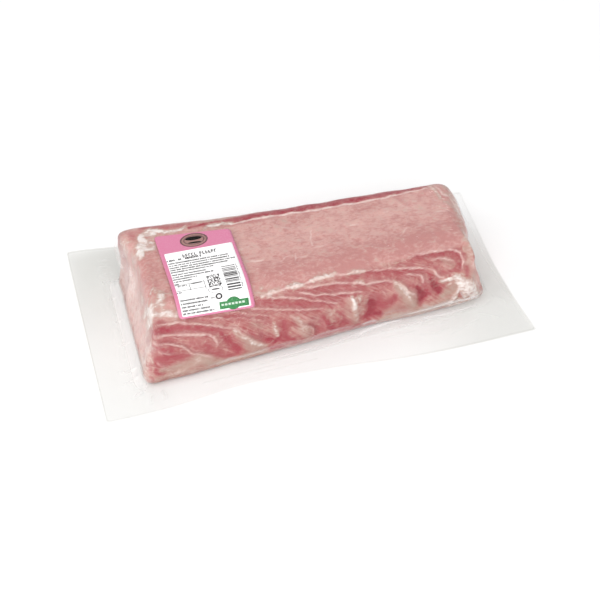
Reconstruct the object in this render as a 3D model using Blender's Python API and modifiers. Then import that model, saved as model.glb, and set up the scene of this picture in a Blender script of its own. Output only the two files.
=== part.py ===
"""Vacuum packed pork loin: a boneless loin between two clear films, with a label on top.

Units are metres. X runs along the loin, the ragged trimmed edge faces -Y and Z is up.
The origin is on the surface that the pack lies on, under the middle of the pack's box.
Every shape is a stack of closed loops, seen from above as rounded four-sided outlines.
"""
import bpy
import numpy as np

MM = 0.001
QUARTER_TURN = np.pi / 2.0
FRONT, RIGHT, BACK, LEFT = range(4)

# The loin's foot: corners front left, front right, back right, back left.
LOIN_CORNERS = np.array([(-153.0, -74.5), (163.0, -45.5), (163.0, 60.5), (-153.0, 60.5)]) * MM
LOIN_HEIGHT_LEFT = 67.5 * MM
LOIN_HEIGHT_RIGHT = 59.5 * MM
LOIN_FLOOR = 0.8 * MM
FOOT_RADIUS = 6.0 * MM
WALL_CORNER_RADIUS = 9.0 * MM
TOP_CORNER_RADIUS = 12.0 * MM

# For each side, front, right, back and left: how far the rounded shoulder reaches in and
# down from the top, and how far the wall leans in below it.
SHOULDER_IN = np.array([37.0, 13.0, 13.0, 10.0]) * MM
SHOULDER_DOWN = np.array([40.0, 15.0, 13.0, 12.0]) * MM
WALL_LEAN = np.array([0.5, 10.0, 1.0, 11.0]) * MM
FRONT_SHOULDER_RADIUS = np.hypot(SHOULDER_IN[FRONT], SHOULDER_DOWN[FRONT]) / np.sqrt(2.0)

# Where the plain block is pulled out or sags, in mm: place, width and shift.
PULLS = [
    ((-142.0, 55.0, 52.0), 24.0, (-9.0, 2.0, 0.0)),
    ((152.0, 47.0, 44.0), 32.0, (11.0, 1.0, 0.0)),
    ((-150.0, -71.0, 8.0), 13.0, (-3.0, -5.0, 0.0)),
    ((-35.0, 58.0, 60.0), 45.0, (0.0, 0.0, -3.0)),
]
SAG_FADE = 40.0 * MM

# Lumps (+) and hollows (-) of the trimmed edge, in mm: place along and up, half sizes, relief.
LUMPS = [
    (55.0, 30.0, 13.0, 12.0, -3.0),
    (106.0, 30.0, 17.0, 10.0, -2.5),
    (37.0, 30.0, 7.0, 14.0, 2.0),
    (-62.0, 28.0, 12.0, 14.0, 1.6),
    (-12.0, 24.0, 9.0, 12.0, 1.8),
    (83.0, 28.0, 10.0, 14.0, 1.6),
    (139.0, 27.0, 15.0, 17.0, 2.6),
    (-112.0, 17.0, 30.0, 8.0, 1.4),
    (-79.0, 28.0, 8.0, 14.0, -1.6),
    (-45.0, 24.0, 10.0, 8.0, -1.6),
    (3.0, 25.0, 7.0, 12.0, -1.6),
]

# Relief of any kind dies out over the lowest stretch, in mm, so that the underside stays flat.
FOOT_FADE = 12.0

# Leaves of muscle on the trimmed edge, in mm. Each one is bounded by a parabola that starts
# at the smooth muscle's border and falls away to the right, so that they fan like shingles.
BORDER_LEFT = 66.0
BORDER_RIGHT = 62.0
LEAF_REACH = 14.5
LEAF_FIRST = -193.0
LEAF_STEP = 30.5
LEAF_CLOSING = 0.62
LEAF_SKEW = 1.8
LEAF_DEPTH = 2.2
LEAF_FADE = 8.0

# The two films, and where their flange lifts off the table: place, widths and lift in mm.
FILM_THICKNESS = 0.5 * MM
FILM_GAP = 1.1 * MM
SHEET_GAP = 0.4 * MM
SKIRT_RADIUS = 7.0 * MM
SKIRT_TOP = 0.12
FLANGE_CORNERS = np.array([(-192.5, -107.5), (192.5, -98.0), (192.5, 107.5), (-192.5, 107.5)]) * MM
FLANGE_CORNER_RADIUS = 6.0 * MM
FLANGE_RIGHT_BOW = 5.0 * MM
LIFTS = [
    ((-78.0, -102.0), (50.0, 40.0), 9.0),
    ((-5.0, -100.0), (60.0, 40.0), 8.0),
    ((-190.0, 105.0), (50.0, 45.0), 6.0),
    ((185.0, -95.0), (40.0, 40.0), 2.0),
    ((60.0, 109.0), (60.0, 30.0), 3.0),
]

# The label lies on the top film, from the flat top down onto the front shoulder. Its corners
# are places along the loin and up its front: low left, low right, high right, high left.
LABEL_CORNERS = np.array([(-118.0, 61.0), (-52.0, 55.5), (-53.0, 147.5), (-120.0, 159.5)]) * MM
LABEL_GAP = 0.5 * MM
LABEL_THICKNESS = 0.4 * MM
LABEL_CELLS = (8, 14)

# Points along each long side, in each corner and along each end of a loop.
LOIN_POINTS = (40, 2, 7)
FILM_POINTS = (26, 2, 6)
# Loops round the foot or skirt, up the wall, over the shoulder and in across the flat top.
LOIN_LOOPS = (2, 5, 14, 3)
FILM_LOOPS = (3, 4, 8, 2)
FLANGE_LOOPS = 4


def smooth_step(t):
    t = np.clip(t, 0.0, 1.0)
    return t * t * (3.0 - 2.0 * t)


def linear_colour(hex_code):
    """Linear RGBA of an sRGB colour written as six hex digits."""
    srgb = np.array([int(hex_code[i:i + 2], 16) for i in (0, 2, 4)]) / 255.0
    linear = np.where(srgb <= 0.04045, srgb / 12.92, ((srgb + 0.055) / 1.055) ** 2.4)
    return (*linear.tolist(), 1.0)


def inset_corners(corners, insets):
    """Corners of a four-sided outline whose side i is moved in by insets[i]."""
    edges = np.roll(corners, -1, axis=0) - corners
    edges = edges / np.linalg.norm(edges, axis=1)[:, None]
    inward = np.stack([-edges[:, 1], edges[:, 0]], axis=1)
    offsets = np.einsum("ij,ij->i", inward, corners) + insets
    moved = []
    for i in range(4):
        moved.append(np.linalg.solve(inward[[i - 1, i]], offsets[[i - 1, i]]))
    return np.array(moved)


def corner_arc(corners, radius, i):
    """Start, end and centre of the arc that rounds corner i."""
    before = corners[i - 1] - corners[i]
    after = corners[(i + 1) % 4] - corners[i]
    before = before / np.linalg.norm(before)
    after = after / np.linalg.norm(after)
    half = np.arccos(before @ after) / 2.0
    middle = (before + after) / np.linalg.norm(before + after)
    run = radius / np.tan(half)
    return corners[i] + before * run, corners[i] + after * run, corners[i] + middle * radius / np.sin(half)


def rounded_loop(corners, radius, points):
    """Outline with round corners, counterclockwise from the front left corner.

    Gives the points, and for each point how much it belongs to each of the four sides.
    """
    long_count, corner_count, end_count = points
    counts = (long_count, end_count, long_count, end_count)
    arcs = [corner_arc(corners, radius, i) for i in range(4)]
    outline, sides = [], []
    for i in range(4):
        nxt = (i + 1) % 4
        start, end, centre = arcs[nxt]
        t = np.arange(counts[i])[:, None] / counts[i]
        outline.append(arcs[i][1] + (start - arcs[i][1]) * t)
        sides.append(np.tile(np.eye(4)[i], (counts[i], 1)))
        first = np.arctan2(*(start - centre)[::-1])
        sweep = (np.arctan2(*(end - centre)[::-1]) - first) % (4.0 * QUARTER_TURN)
        t = np.arange(corner_count) / corner_count
        turn = first + sweep * t
        outline.append(centre + radius * np.stack([np.cos(turn), np.sin(turn)], axis=1))
        share = smooth_step(t)[:, None]
        sides.append((1.0 - share) * np.eye(4)[i] + share * np.eye(4)[nxt])
    return np.concatenate(outline), np.concatenate(sides)


def block_height(x):
    left, right = LOIN_CORNERS[0, 0], LOIN_CORNERS[1, 0]
    return LOIN_HEIGHT_LEFT + (LOIN_HEIGHT_RIGHT - LOIN_HEIGHT_LEFT) * (x - left) / (right - left)


def wall_height(x, sides):
    return block_height(x) - sides @ SHOULDER_DOWN - LOIN_FLOOR - FOOT_RADIUS


def with_side_data(xy, z, up, sides):
    """One row for each point: x, y, z, the way up the front from its foot, and the sides."""
    return np.column_stack([xy, np.broadcast_to(z, len(xy)), np.broadcast_to(up, len(xy)), sides])


def foot_loop(turn, points):
    """Loop on the round foot, from 0 at the flat underside to 1 at the wall."""
    angle = turn * QUARTER_TURN
    inset = FOOT_RADIUS * (1.0 - np.sin(angle))
    corners = inset_corners(LOIN_CORNERS, np.full(4, inset))
    xy, sides = rounded_loop(corners, WALL_CORNER_RADIUS - inset, points)
    return with_side_data(xy, LOIN_FLOOR + FOOT_RADIUS * (1.0 - np.cos(angle)), FOOT_RADIUS * angle, sides)


def wall_loop(share, points):
    """Loop on the wall, from 0 at the foot to 1 where the shoulder starts."""
    xy, sides = rounded_loop(inset_corners(LOIN_CORNERS, WALL_LEAN * share), WALL_CORNER_RADIUS, points)
    rise = wall_height(xy[:, 0], sides) * share
    up = FOOT_RADIUS * QUARTER_TURN + rise
    return with_side_data(xy, LOIN_FLOOR + FOOT_RADIUS + rise, up, sides)


def shoulder_loop(turn, points):
    """Loop on the elliptical shoulder, from 0 at the wall to 1 at the flat top."""
    angle = turn * QUARTER_TURN
    insets = WALL_LEAN + SHOULDER_IN * (1.0 - np.cos(angle))
    radius = WALL_CORNER_RADIUS + (TOP_CORNER_RADIUS - WALL_CORNER_RADIUS) * turn
    xy, sides = rounded_loop(inset_corners(LOIN_CORNERS, insets), radius, points)
    drop = (sides @ SHOULDER_DOWN) * (1.0 - np.sin(angle))
    up = FOOT_RADIUS * QUARTER_TURN + wall_height(xy[:, 0], sides) + FRONT_SHOULDER_RADIUS * angle
    return with_side_data(xy, block_height(xy[:, 0]) - drop, up, sides)


def spine_numbers(points):
    """For each point of a loop, the number of the spine point that it closes onto."""
    long_count, corner_count, end_count = points
    turn = 2 * corner_count + end_count
    along = np.arange(long_count)
    right_end = np.full(turn, long_count)
    left_end = np.zeros(turn, dtype=int)
    return np.concatenate([along, right_end, long_count - along, left_end])


def spine_of(edge, points):
    """Points along the middle of a flat loop, which its two long sides close onto."""
    long_count, corner_count, end_count = points
    opposite = long_count + 2 * corner_count + end_count
    along = np.arange(long_count + 1)
    middle = (edge[along] + edge[(opposite + long_count - along) % len(edge)]) / 2.0
    reach = np.linspace(0.13, 0.87, long_count + 1)[:, None]
    return middle[0] + (middle[-1] - middle[0]) * reach


def loops_between(outer, inner, count):
    """Loops part of the way from one loop to another, without either of them."""
    shares = np.arange(1, count + 1) / (count + 1)
    return [outer + (inner - outer) * share for share in shares]


def stack_of(loops, points):
    """Points of a stack of loops, and triangles between each loop and the next.

    A loop that is as short as a spine closes the stack.
    """
    numbers, rows, start = [], [], 0
    for loop in loops:
        is_spine = len(loop) == points[0] + 1
        own = spine_numbers(points) if is_spine else np.arange(len(loop))
        numbers.append(start + own)
        rows.append(loop)
        start += len(loop)
    triangles = []
    for lower, upper in zip(numbers, numbers[1:]):
        lower_next = np.roll(lower, -1)
        upper_next = np.roll(upper, -1)
        triangles.append(np.column_stack([lower, lower_next, upper_next]))
        triangles.append(np.column_stack([lower, upper_next, upper]))
    triangles = np.concatenate(triangles)
    a, b, c = triangles.T
    return np.concatenate(rows), triangles[(a != b) & (b != c) & (c != a)]


def vertex_normals(xyz, triangles):
    a, b, c = xyz[triangles].transpose(1, 0, 2)
    face = np.cross(b - a, c - a)
    normals = np.zeros_like(xyz)
    for corner in range(3):
        np.add.at(normals, triangles[:, corner], face)
    return normals / np.linalg.norm(normals, axis=1)[:, None]


def pulled_out(xyz):
    """The points after the pack's pulled corners and its sagging back edge."""
    shifts = np.zeros_like(xyz)
    for place, width, shift in PULLS:
        away = np.linalg.norm(xyz - np.array(place) * MM, axis=1) / (width * MM)
        shifts += np.exp(-away ** 2)[:, None] * np.array(shift) * MM
    shifts[:, 2] *= smooth_step(xyz[:, 2] / SAG_FADE)
    return xyz + shifts


def lump_relief(x, up):
    """Relief in mm of the lumps and hollows, for places in mm."""
    relief = np.zeros_like(x)
    for place, height, half_length, half_height, size in LUMPS:
        relief += size * np.exp(-((x - place) / half_length) ** 2 - ((up - height) / half_height) ** 2)
    return relief * smooth_step(up / FOOT_FADE)


def leaf_relief(x, up):
    """Relief in mm, 0 on a leaf's rim and negative in the crease beside it."""
    along = (x / MM - LOIN_CORNERS[0, 0]) / (LOIN_CORNERS[1, 0] - LOIN_CORNERS[0, 0])
    border = BORDER_LEFT + (BORDER_RIGHT - BORDER_LEFT) * along
    below = np.clip(border - up, 0.0, None)
    start = x - LEAF_REACH * np.sqrt(below)
    root = np.sqrt(LEAF_STEP ** 2 - 4.0 * LEAF_CLOSING * (start - LEAF_FIRST))
    number = (LEAF_STEP - root) / (2.0 * LEAF_CLOSING)
    phase = (number % 1.0) ** LEAF_SKEW
    fade = smooth_step(below / LEAF_FADE) * smooth_step(up / FOOT_FADE)
    return -LEAF_DEPTH * (0.5 + 0.5 * np.cos(2.0 * np.pi * phase)) * fade


def block_form(rows, triangles):
    """Points and normals of the block with its pulled corners, lumps and hollows."""
    xyz = pulled_out(rows[:, :3])
    front = rows[:, 4 + FRONT]
    relief = lump_relief(rows[:, 0] / MM, rows[:, 3] / MM) * front * MM
    xyz = xyz + vertex_normals(xyz, triangles) * relief[:, None]
    return xyz, vertex_normals(xyz, triangles)


def upper_loops(points, counts, lowest_share):
    """Loops of the block from the wall over the shoulder to the spine of the flat top."""
    wall_count, shoulder_count, top_count = counts
    shares = lowest_share + (1.0 - lowest_share) * np.arange(wall_count) / wall_count
    loops = [wall_loop(share, points) for share in shares]
    loops += [shoulder_loop(turn, points) for turn in np.linspace(0.0, 1.0, shoulder_count + 1)]
    spine = spine_of(loops[-1], points)
    loops += loops_between(loops[-1], spine[spine_numbers(points)], top_count)
    return loops + [spine]


def flange_lift(xy):
    lift = np.zeros(len(xy))
    for place, widths, height in LIFTS:
        away = (xy - np.array(place) * MM) / (np.array(widths) * MM)
        lift += height * MM * np.exp(-(away ** 2).sum(axis=1))
    return lift


def flange_loops(foot, height, points):
    """Loops from the pack's outer edge in towards the skirt's foot, lifted near the edge."""
    xy, sides = rounded_loop(FLANGE_CORNERS, FLANGE_CORNER_RADIUS, points)
    across = xy[:, 1] / FLANGE_CORNERS[BACK, 1]
    xy[:, 0] -= FLANGE_RIGHT_BOW * sides[:, RIGHT] * np.cos(across * QUARTER_TURN)
    edge = with_side_data(xy, height, 0.0, sides)
    loops = [edge] + loops_between(edge, foot, FLANGE_LOOPS - 1)
    for step, loop in enumerate(loops):
        loop[:, 2] += flange_lift(loop[:, :2]) * (1.0 - step / FLANGE_LOOPS) ** 2
    return loops


def skirt_loops(points, count, height):
    """Loops of the hollow curve where the top film leaves the flange and runs up the wall."""
    loops = []
    for turn in np.linspace(0.0, 1.0, count + 1):
        angle = turn * QUARTER_TURN
        outset = FILM_GAP + SKIRT_RADIUS * (1.0 - np.sin(angle))
        corners = inset_corners(LOIN_CORNERS, np.full(4, -outset))
        xy, sides = rounded_loop(corners, WALL_CORNER_RADIUS + outset, points)
        loops.append(with_side_data(xy, height + SKIRT_RADIUS * (1.0 - np.cos(angle)), 0.0, sides))
    return loops


def surface_mesh(name, xyz, triangles):
    mesh = bpy.data.meshes.new(name)
    mesh.from_pydata(xyz.tolist(), [], triangles.tolist())
    mesh.validate()
    mesh.shade_smooth()
    return mesh


def plain_material(name, hex_code, roughness, alpha=1.0):
    material = bpy.data.materials.new(name)
    material.use_nodes = True
    shader = material.node_tree.nodes["Principled BSDF"]
    shader.inputs["Base Color"].default_value = linear_colour(hex_code)
    shader.inputs["Roughness"].default_value = roughness
    shader.inputs["Metallic"].default_value = 0.0
    shader.inputs["Alpha"].default_value = alpha
    return material


def add_object(collection, mesh, material):
    mesh.materials.append(material)
    obj = bpy.data.objects.new(mesh.name, mesh)
    collection.objects.link(obj)
    return obj


def give_thickness(obj, thickness, side):
    """Turn an open sheet into a closed one; side 1 thickens outwards and -1 inwards."""
    solidify = obj.modifiers.new("thickness", "SOLIDIFY")
    solidify.thickness = thickness
    solidify.offset = side
    return obj


def make_loin(collection):
    """The meat: one solid with the trimmed edge's leaves carved into its front."""
    foot_count, *upper_counts = LOIN_LOOPS
    foot = [foot_loop(turn, LOIN_POINTS) for turn in np.arange(foot_count) / foot_count]
    spine = spine_of(foot[0], LOIN_POINTS)
    underside = loops_between(spine[spine_numbers(LOIN_POINTS)], foot[0], 1)
    loops = [spine] + underside + foot + upper_loops(LOIN_POINTS, upper_counts, 0.0)
    rows, triangles = stack_of(loops, LOIN_POINTS)
    xyz, normals = block_form(rows, triangles)
    relief = leaf_relief(rows[:, 0] / MM, rows[:, 3] / MM) * rows[:, 4 + FRONT] * MM
    mesh = surface_mesh("loin", xyz + normals * relief[:, None], triangles)
    return add_object(collection, mesh, plain_material("pork_meat", "CB928D", 0.45))


def make_top_film(collection):
    """The drawn film: a flange, a hollow skirt, and a skin over the block's form."""
    height = FILM_THICKNESS + SHEET_GAP
    skirt_count, *upper_counts = FILM_LOOPS
    skirt = skirt_loops(FILM_POINTS, skirt_count, height)
    loops = flange_loops(skirt[0], height, FILM_POINTS) + skirt
    low_count = sum(len(loop) for loop in loops)
    rows, triangles = stack_of(loops + upper_loops(FILM_POINTS, upper_counts, SKIRT_TOP), FILM_POINTS)
    xyz, normals = block_form(rows, triangles)
    xyz[low_count:] += normals[low_count:] * FILM_GAP
    film = add_object(collection, surface_mesh("top_film", xyz, triangles),
                      plain_material("clear_top_film", "F2EFEE", 0.12, 0.3))
    return give_thickness(film, FILM_THICKNESS, 1.0)


def make_base_film(collection):
    """The flat lower film, which the loin lies on and the pack rests on."""
    foot = skirt_loops(FILM_POINTS, 1, FILM_THICKNESS)[0]
    loops = flange_loops(foot, FILM_THICKNESS, FILM_POINTS) + [foot]
    spine = spine_of(foot, FILM_POINTS)
    loops += loops_between(foot, spine[spine_numbers(FILM_POINTS)], 1) + [spine]
    rows, triangles = stack_of(loops, FILM_POINTS)
    film = add_object(collection, surface_mesh("base_film", pulled_out(rows[:, :3]), triangles),
                      plain_material("clear_base_film", "E6E5E3", 0.25, 0.4))
    return give_thickness(film, FILM_THICKNESS, -1.0)


def draped(x, up, clearance):
    """Points above the block's front shoulder and flat top, at a place along and up it."""
    (left, left_y), (right, right_y) = LOIN_CORNERS[:2]
    front_y = left_y + (right_y - left_y) * (x - left) / (right - left) + WALL_LEAN[FRONT]
    bend = up - FOOT_RADIUS * QUARTER_TURN - wall_height(x, np.eye(4)[FRONT])
    angle = np.clip(bend / FRONT_SHOULDER_RADIUS, 0.0, QUARTER_TURN)
    past = np.clip(bend - FRONT_SHOULDER_RADIUS * QUARTER_TURN, 0.0, None)
    y = front_y + (SHOULDER_IN[FRONT] + clearance) * (1.0 - np.cos(angle)) - clearance + past
    z = block_height(x) + clearance - (SHOULDER_DOWN[FRONT] + clearance) * (1.0 - np.sin(angle))
    return np.stack([x, y, z], axis=-1)


def make_label(collection):
    """The paper label, draped over the top film."""
    across, along = LABEL_CELLS
    low_left, low_right, high_right, high_left = LABEL_CORNERS
    a = np.linspace(0.0, 1.0, across + 1)[None, :, None]
    b = np.linspace(0.0, 1.0, along + 1)[:, None, None]
    low_edge = low_left + (low_right - low_left) * a
    high_edge = high_left + (high_right - high_left) * a
    place = low_edge + (high_edge - low_edge) * b
    clearance = FILM_GAP + FILM_THICKNESS + LABEL_GAP
    xyz = draped(place[..., 0], place[..., 1], clearance).reshape(-1, 3)
    number = np.arange(len(xyz)).reshape(along + 1, across + 1)
    low, low_next = number[:-1, :-1].ravel(), number[:-1, 1:].ravel()
    high, high_next = number[1:, :-1].ravel(), number[1:, 1:].ravel()
    triangles = np.concatenate([np.column_stack([low, low_next, high_next]),
                                np.column_stack([low, high_next, high])])
    label = add_object(collection, surface_mesh("label", xyz, triangles),
                       plain_material("label_paper", "F3EDF0", 0.4))
    return give_thickness(label, LABEL_THICKNESS, 1.0)


def main():
    for obj in list(bpy.data.objects):
        bpy.data.objects.remove(obj, do_unlink=True)
    collection = bpy.data.collections.new("vacuum_packed_pork_loin")
    bpy.context.scene.collection.children.link(collection)
    make_loin(collection)
    make_top_film(collection)
    make_base_film(collection)
    make_label(collection)


main()
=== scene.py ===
"""The looks of a vacuum packed pork loin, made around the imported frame.

The meat is one piece, carved and coloured along the lines of its muscle leaves. A drawn clear
film clings to it and runs out into a flange, a flat clear film closes the pack from below, and a
printed paper label lies on top. Both films are single sheets. Lengths in the tables and of the
surfaces are in mm, and those of finished meshes, settings and materials are in metres.

Most tables place things on the meat by x, along the loin, and by the way up: the distance along
the surface from the front foot up the trimmed edge, over the top and down the back.
"""

import bpy
import numpy as np
from bpy.props import FloatProperty, FloatVectorProperty, PointerProperty
from bpy.types import Operator, Panel, PropertyGroup
from mathutils import Matrix


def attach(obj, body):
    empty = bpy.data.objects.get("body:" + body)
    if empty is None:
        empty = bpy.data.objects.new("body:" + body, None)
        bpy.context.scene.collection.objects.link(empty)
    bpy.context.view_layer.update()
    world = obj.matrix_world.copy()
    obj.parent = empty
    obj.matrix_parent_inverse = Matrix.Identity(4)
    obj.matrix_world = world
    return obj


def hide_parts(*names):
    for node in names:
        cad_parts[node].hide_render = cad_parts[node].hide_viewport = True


bl_info = {
    "name": "Vacuum Packed Pork Loin",
    "version": (1, 0, 0),
    "blender": (4, 5, 0),
    "location": "View3D > Sidebar > Pork Loin",
    "description": "Builds the meat, films, label and studio of a vacuum packed pork loin",
    "category": "Add Mesh",
}

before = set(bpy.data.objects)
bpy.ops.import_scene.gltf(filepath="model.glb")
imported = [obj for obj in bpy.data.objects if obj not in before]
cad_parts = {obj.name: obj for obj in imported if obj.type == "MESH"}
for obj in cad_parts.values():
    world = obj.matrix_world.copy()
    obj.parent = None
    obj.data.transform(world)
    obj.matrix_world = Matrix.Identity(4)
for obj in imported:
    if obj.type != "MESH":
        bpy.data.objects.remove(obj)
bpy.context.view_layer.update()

MM = 0.001
QUARTER_TURN = np.pi / 2.0
FRONT, RIGHT, BACK, LEFT = range(4)

# The plain block that the meat and the drawn film share, as in the part's source.
LOIN_CORNERS = np.array([(-153.0, -74.5), (163.0, -45.5), (163.0, 60.5), (-153.0, 60.5)])
LOIN_HEIGHTS = (67.5, 59.5)
LOIN_FLOOR = 0.8
FOOT_RADIUS = 6.0
WALL_CORNER_RADIUS = 9.0
TOP_CORNER_RADIUS = 12.0
SHOULDER_IN = np.array([37.0, 13.0, 13.0, 10.0])
SHOULDER_DOWN = np.array([40.0, 15.0, 13.0, 12.0])
WALL_LEAN = np.array([0.5, 10.0, 1.0, 11.0])
FRONT_SHOULDER_RADIUS = np.hypot(SHOULDER_IN[FRONT], SHOULDER_DOWN[FRONT]) / np.sqrt(2.0)
BACK_SHOULDER_RADIUS = 13.0
BACK_TOP_EDGE = LOIN_CORNERS[BACK, 1] - WALL_LEAN[BACK] - SHOULDER_IN[BACK]

# Points of an outline along a long side, round a corner and along an end, for the meat and for
# the films, and where the spine of its flat closing starts and ends, as shares of its length.
LOIN_COUNTS = (320, 10, 60)
FILM_COUNTS = (290, 8, 84)
SPINE_REACH = (0.13, 0.87)

# Where the block is pulled out or sags: place, width and shift.
PULLS = [
    ((-142.0, 55.0, 52.0), 24.0, (-9.0, 2.0, 0.0)),
    ((152.0, 45.0, 35.0), 32.0, (11.5, 1.0, 0.0)),
    ((158.0, 57.0, 53.0), 11.0, (-3.0, 2.0, 1.0)),
    ((163.0, 48.0, 50.0), 10.0, (-4.0, 0.0, -1.0)),
    ((164.0, 28.0, 52.0), 12.0, (-2.0, 0.0, 0.0)),
    ((164.0, 4.0, 50.0), 18.0, (5.5, 0.0, 0.0)),
    ((164.0, -30.0, 36.0), 16.0, (-4.0, 0.0, 0.0)),
    ((-141.0, 48.0, 62.0), 10.0, (-2.0, 0.5, 1.0)),
    ((-150.0, -71.0, 10.0), 13.0, (-1.0, -3.0, 0.0)),
    ((-150.0, 12.0, 40.0), 18.0, (2.2, 0.0, 0.0)),
    ((-150.0, 38.0, 20.0), 16.0, (1.8, 0.0, 0.0)),
    ((-110.0, 52.0, 64.0), 22.0, (0.0, 0.0, 1.2)),
    ((-55.0, 56.0, 62.0), 28.0, (0.0, 0.0, -1.2)),
    ((5.0, 58.0, 60.0), 42.0, (0.0, 0.0, -1.3)),
    ((-115.0, -72.0, 2.0), 26.0, (0.0, -2.3, 0.0)),
    ((-75.0, -68.0, 2.0), 26.0, (0.0, -1.6, 0.0)),
    ((-35.0, -64.0, 2.0), 26.0, (0.0, -1.2, 0.0)),
    ((4.0, -61.0, 2.0), 26.0, (0.0, -1.0, 0.0)),
    ((100.0, -50.0, 2.0), 26.0, (0.0, -2.6, 0.0)),
    ((134.0, -48.0, 2.0), 24.0, (0.0, -2.0, 0.0)),
]
# The pulls' lifts and sags grow from the table up to SAG_FADE. Relief fades over FOOT_FADE at the
# front foot, and again low on the back, where it is gone at BACK_FADE_END of the way.
SAG_FADE = 40.0
FOOT_FADE = 12.0
BACK_FADE_END = 235.0
# Depth of the meat's upper left back corner below the block, where the film hangs free.
CORNER_HOLLOW = 4.0

# Lumps (+) and hollows (-) of the trimmed edge: place along and up, half sizes, relief.
LUMPS = [
    (54.0, 28.0, 11.0, 10.0, -4.0),
    (100.0, 27.0, 6.0, 9.0, -2.6),
    (115.0, 31.0, 7.0, 7.0, -2.6),
    (36.5, 28.0, 6.0, 15.0, 2.4),
    (-62.0, 28.0, 12.0, 14.0, 1.6),
    (-10.0, 22.0, 8.0, 11.0, 2.2),
    (73.0, 34.0, 8.0, 9.0, 1.4),
    (88.0, 27.0, 8.0, 12.0, 2.0),
    (142.0, 26.0, 11.0, 13.0, 3.2),
    (-112.0, 15.0, 30.0, 8.0, 1.6),
    (-79.0, 28.0, 8.0, 14.0, -2.0),
    (-45.0, 24.0, 10.0, 8.0, -1.8),
    (3.0, 25.0, 7.0, 12.0, -1.8),
]

# Films: heights of both on the flange, how much farther in the flat one's front edge lies, and
# the skirt where the drawn film leaves the flange: its radius, the share of the wall's height
# where the skin takes over, and its gap to the meat.
DRAWN_FILM_LEVEL = 0.9
FLAT_FILM_LEVEL = 0.5
FLAT_FILM_INSET = 1.6
SKIRT_RADIUS = 7.0
SKIRT_TOP = 0.12
SKIRT_GAP = 1.1
# The flange: its corners, their radius, the trim of each side, the bow of the right side, and the
# grey that its cut edge adds, where 1 is the tint of one wall of film.
FLANGE_CORNERS = np.array([(-192.5, -107.5), (192.5, -98.0), (192.5, 103.0), (-192.5, 107.5)])
FLANGE_CORNER_RADIUS = 2.5
FLANGE_TRIM = np.array([0.2, 0.5, 0.3, 0.2])
FLANGE_RIGHT_BOW = 5.0
CUT_EDGE_GREY = 1.4
# Where the flange lifts off the table: place in plan, half sizes, height.
FLANGE_LIFTS = [
    (-78.0, -102.0, 50.0, 40.0, 9.0),
    (-5.0, -100.0, 60.0, 40.0, 8.0),
    (-190.0, 105.0, 50.0, 45.0, 6.0),
    (185.0, -95.0, 40.0, 40.0, 2.0),
    (60.0, 109.0, 60.0, 30.0, 3.0),
]

# Muscle leaves of the trimmed side: their upper border at the left end, their left end, how fast
# they fan out, how long an edge fades at its ends, and the height of a rim, in metres.
LEAF_BORDER = 66.0
LEAF_LEFT = -147.0
LEAF_FAN = 14.5
LEAF_END_FADE = 9.0
LEAF_RELIEF = 0.0014

# How far from the middle line of a stroke or a fold its points are looked for.
STROKE_MARGIN = 12.0
FOLD_MARGIN = 6.0

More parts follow.
